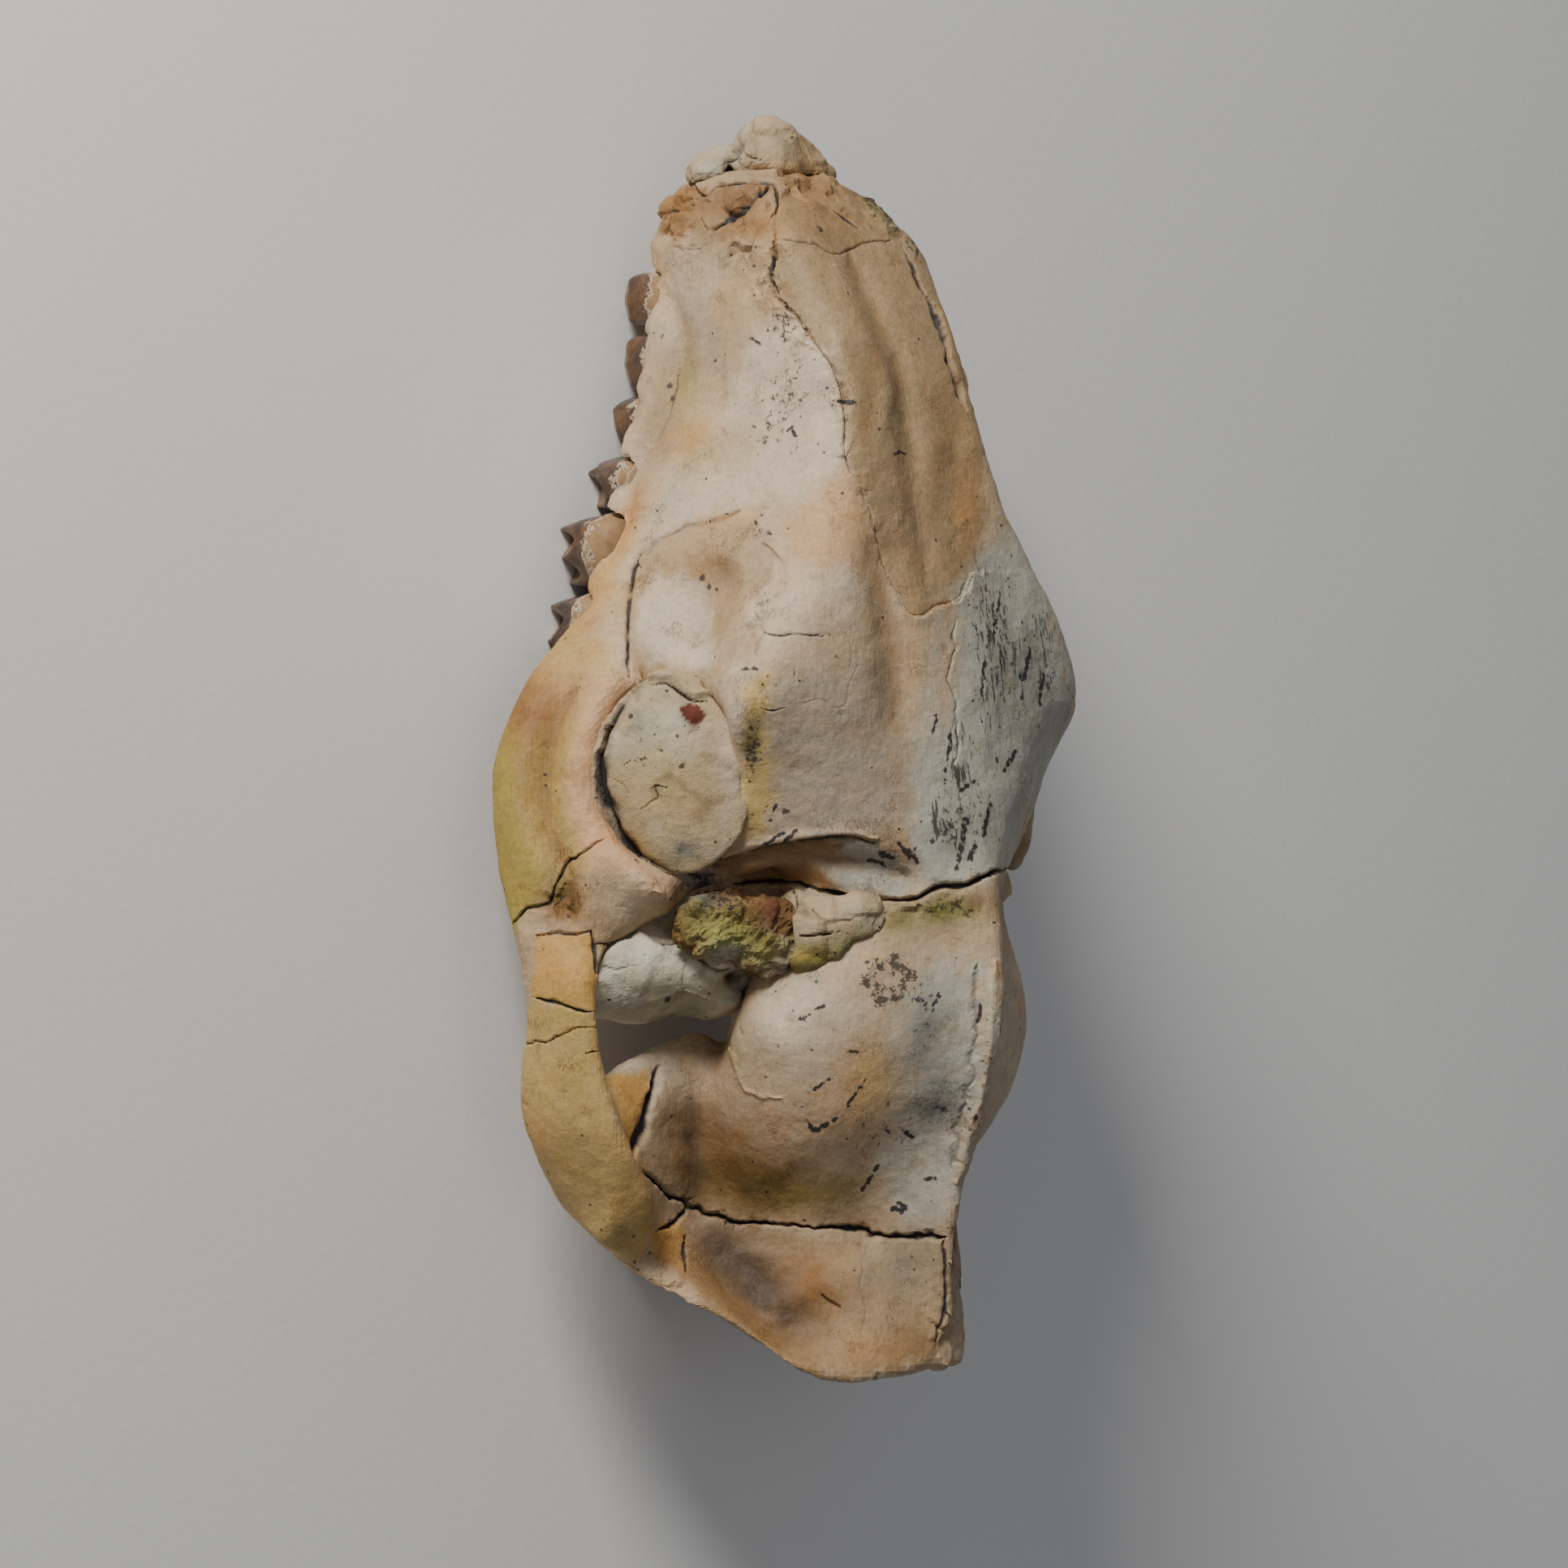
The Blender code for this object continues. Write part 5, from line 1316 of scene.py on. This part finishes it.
LUMPS = (
    Lump(
        "orbit_matrix_left", "orbit_fill_left", "orbit_sediment", "sand", 4,
        ((9, 0.22), (1.6, 0.05)), (), 0, (
        Spot("stone", 0.6, (800, 905), (44, 46)),
        Spot("grey", 0.5, (835, 890), (40, 24)),
        Spot("tan", 0.5, (765, 985), (20, 60)),
        Spot("hay", 0.35, (820, 980), (60, 70)),
        Spot("olive", 0.5, (780, 1045), (34, 18), 40),
        Spot("smudge", 0.7, (840, 1046), (18, 11)),
        Spot("pink", 0.8, (896, 900), (16, 70)),
        Spot("pink", 0.7, (893, 990), (14, 60)),
        *BY_THE_EYE,
        Patch("pink", 1.0, 2, 2, (*EYE_RIM, (822, 1115), (780, 1104), (742, 1078), (716, 1035), (704, 985),
                                  (700, 930), (710, 876), (732, 838), (768, 812))),
        Patch("rust", 1.0, 1.2, 2, RUSTY_BIT),
    ), FILL_LINES, (((856, 881), (13, 11), 0, 0.5), ((830, 960), (50, 80), 0, 0.5)), (
        Spot("black", 0.5, (800, 930), (50, 60)),)),
    Lump(
        "orbit_matrix_right", "orbit_fill_right", "orbit_sediment", "sand", 4,
        ((9, 0.3), (1.6, 0.08)), (), 0, (
        # The crevice along the eye's rim, painted dark as the rim's shadow.
        Spot("stone", 0.6, (800, 905), (44, 46)),), (Line(EYE_RIM, 0.9, 1.5, 0.6, 1.0),)),
    Lump(
        "temple_matrix", "temple_lump", "temple_sediment", "pale", 3,
        ((9, 0.5), (2, 0.1)), ((11, 0.5),), 2.2, (
        Spot("stone", 0.45, (840, 1225), (80, 36)),
        Spot("green", 0.3, (830, 1250), (60, 12)),
        Spot("dark", 0.75, (915, 1212), (24, 20)),
    ), (
        Line(((855, 1170), (872, 1186), (890, 1196), (905, 1190)), 0.8, 1.0, 0.5, 2.0),
        Line(((800, 1152), (818, 1160), (836, 1158)), 0.3, 0.5, 0.9, 2.0),
        Line(((740, 1190), (760, 1196), (784, 1192)), 0.3, 0.3, 0.3, 2.0),
    ), (((915, 1212), (26, 20), 0, -2.6),), (Spot("black", 0.35, (760, 1200), (30, 50)),)),
    Lump(
        "temple_crust", "temple_crumbs", "crust", "brown", 1,
        ((4, 0.6), (1.2, 0.3)), ((4.5, 0.7), (1.6, 0.3)), 2.2, (
        Spot("smudge", 0.8, (862, 1104), (32, 24)),
        Spot("brown", 0.9, (930, 1115), (44, 30)),
        Spot("dark", 0.5, (935, 1112), (36, 24)),
        Spot("orange", 0.5, (925, 1104), (26, 8), 10),
        Spot("rust", 0.7, (950, 1124), (12, 26)),
        Spot("olive", 0.3, (900, 1135), (50, 14), 20),
        Spot("yellow", 0.4, (930, 1172), (34, 14)),
        Spot("lichen", 1.0, (900, 1155), (60, 26), 20),
        Spot("moss", 0.3, (915, 1150), (40, 14), 20),
        Spot("grey", 0.7, (895, 1175), (24, 14)),
        Spot("dark", 0.6, (935, 1140), (14, 12)),
    ), (), (), (Spot("black", 0.9, (900, 1110), (60, 40)), Spot("black", 0.6, (930, 1150), (40, 30)))),
    Lump(
        "temple_bone_chip", "temple_broken_bone", "bone_chip", "sand", 1,
        ((6, 0.3), (1.4, 0.08)), ((7, 0.5),), 2.4, (
        Spot("pink", 0.5, (1015, 1125), (40, 24)),
        Spot("moss", 1.0, (1000, 1185), (50, 22)),
        Spot("yellow", 0.5, (985, 1176), (30, 12)),
        Spot("green", 0.6, (1045, 1165), (26, 14), -30),
        Spot("green", 0.4, (1068, 1130), (10, 30)),
    ), (
        Line(((978, 1092), (979, 1110), (977, 1126)), 0.3, 0.6, 0.6, 2.0),
        Line(((962, 1100), (960, 1128), (968, 1150)), 0.3, 0.5, 0.4, 2.0),
        Line(((985, 1153), (1010, 1152), (1034, 1148)), 0.4, 0.8, 0.7, 3.0),
        Line(((1000, 1120), (1024, 1136), (1050, 1130)), 0.3, 0.5, 0.3, 3.0),
    ), (), (Spot("black", 0.6, (1050, 1150), (30, 40)),)),
    Lump(
        "snout_matrix", "snout_lumps", "snout_sediment", "sand", 2,
        ((6, 0.4), (1.8, 0.12)), ((6, 0.5),), 1.4, (
        Spot("pink", 0.4, (945, 185), (50, 40)),
        Spot("fawn", 0.5, (930, 212), (80, 14)),
        Spot("grey", 0.6, (880, 205), (26, 20)),
        Spot("ochre", 0.4, (970, 215), (26, 14)),
        Patch("fawn", 0.9, 3, 8, ((990, 140), (978, 180), (992, 205), (1000, 240), (1060, 240), (1060, 140))),
        Spot("brown", 0.6, (1006, 214), (26, 12), 30),
        Spot("dark", 0.8, (990, 206), (10, 16), -30),
    ), (
        Line(((897, 160), (903, 185), (898, 210), (905, 228)), 0.9, 1.6, 0.4, 3.0),
        Line(((915, 186), (925, 196), (938, 198)), 0.3, 0.4, 0.3, 2.0),
    ), (((866, 178), (26, 16), 0, -1.6), ((1008, 180), (22, 22), 0, -1.2), ((935, 216), (90, 14), 0, 1.3)), (
        Spot("black", 0.5, (930, 225), (80, 14)),)),
)


def build_lump(lump, material):
    """A lump of sediment or loose bone, with its own way of breaking and its stains."""
    piece = even_copy(lump.piece, lump.node, LUMP_VOXEL, lump.rounds, LUMP_OVERLAP)
    form = Form(piece)
    form.look()
    if lump.lines:
        refine(form, on_lines(form, [line for line in lump.lines if line.width < 1.0], 0.5))
    rise = raised(form, lump.forms)
    for k, (size, height) in enumerate(lump.waves):
        rise += height * ripple(form.places, size, 90 + k, 3)
    gaps = np.zeros(len(form.places))
    for k, (size, height) in enumerate(lump.cobbles):
        near, next_near, number, away = pebbles(form.places, size, 95 + k)
        edge = np.clip((next_near - near) / 0.22, 0, 1)
        rise += height * (0.7 * (number - 0.5) + 0.4 * edge - 0.4 + lump.tilt * slanted(number, away) * edge)
        gaps = np.maximum(gaps, 1 - edge)
    depth, dark = carve_lines(form, lump.lines)
    rise -= depth
    form.push(rise)
    tint = painted(form, mottled(form, lump.base, LUMP_MOTTLES), lump.areas)
    form.colours("tint", tint * (1 - 0.25 * gaps[:, None]))
    form.floats("black", dark)
    form.floats("specks", np.maximum(density(form, lump.specks), 0.2))
    form.floats("streaks", np.zeros(len(form.places)))
    piece.data.materials.append(material)
    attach(piece, "root")
    return piece


def build_stage():
    """A plain pale floor, which the skull rests on."""
    bpy.ops.mesh.primitive_plane_add(size=6.0, location=(0, 0, 0))
    floor = bpy.context.object
    floor.name = "floor"
    s = Surface("pale_floor", 0.8)
    colour = s.mix(s.noise(60.0, 3.0), (0.87, 0.86, 0.84, 1.0), (0.91, 0.9, 0.88, 1.0))
    roughness = s.range(s.noise(20.0), 0.3, 0.7, 0.7, 0.85)
    floor.data.materials.append(s.finish(colour, roughness, s.noise(2.0), 0.05))


def area_light(name, direction, distance, size, power, colour):
    """A soft light that shines at the skull's middle."""
    data = bpy.data.lights.new(name, "AREA")
    data.shape = "DISK"
    data.size = size
    data.energy = power
    data.color = colour
    lamp = bpy.data.objects.new(name, data)
    toward = Vector(direction).normalized()
    lamp.location = Vector((0, 0, 0.035)) + toward * distance
    lamp.rotation_mode = "QUATERNION"
    lamp.rotation_quaternion = toward.to_track_quat("Z", "Y")
    bpy.context.scene.collection.objects.link(lamp)


def build_light():
    area_light("key_light", BACK * 0.85 + UP * 0.9 - RIGHT * 0.28, 0.9, 0.3, 9.6, (1.0, 0.975, 0.93))
    area_light("fill_light", BACK * 1.0 - UP * 0.1 + RIGHT * 0.4, 1.5, 1.3, 1.6, (0.95, 0.97, 1.0))
    world = bpy.data.worlds.new("studio")
    world.use_nodes = True
    world.node_tree.nodes["Background"].inputs["Color"].default_value = (0.9, 0.93, 1.0, 1.0)
    world.node_tree.nodes["Background"].inputs["Strength"].default_value = 0.16
    bpy.context.scene.world = world


def build_camera():
    data = bpy.data.cameras.new("camera")
    data.lens = LENS
    data.sensor_width = SENSOR
    data.clip_start, data.clip_end = 0.05, 20.0
    camera = bpy.data.objects.new("camera", data)
    columns = np.column_stack([RIGHT, UP, BACK])
    camera.matrix_world = Matrix.Translation(Vector((AIM + BACK * DISTANCE) * MM)) @ Matrix(columns).to_4x4()
    bpy.context.scene.collection.objects.link(camera)
    bpy.context.scene.camera = camera


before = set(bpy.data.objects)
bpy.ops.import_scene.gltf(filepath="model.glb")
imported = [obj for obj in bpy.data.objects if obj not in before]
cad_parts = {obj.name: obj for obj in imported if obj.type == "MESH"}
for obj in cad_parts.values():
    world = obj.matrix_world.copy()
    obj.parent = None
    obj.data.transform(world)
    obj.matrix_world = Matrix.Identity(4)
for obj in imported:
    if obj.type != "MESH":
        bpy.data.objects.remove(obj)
cad_low, cad_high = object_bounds()
low_corner = np.array(cad_low) / MM + EDGE_GAP
high_corner = np.array(cad_high) / MM - EDGE_GAP
build_stage()
build_light()
build_camera()
stone = mineral_material("sediment", 0.0, 0.35, 0.72, 0.95)
enamel = enamel_material()
bone = build_bone()
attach(bone, "root")
for tooth_name, tooth_centre, tooth_length, tooth_width, tooth_turn in TEETH:
    for mirror in (False, True):
        crown = build_tooth(tooth_name, tooth_centre, tooth_length, tooth_width, tooth_turn, mirror)
        crown.data.materials.append(enamel)
        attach(crown, "root")
for some_lump in LUMPS:
    build_lump(some_lump, stone)
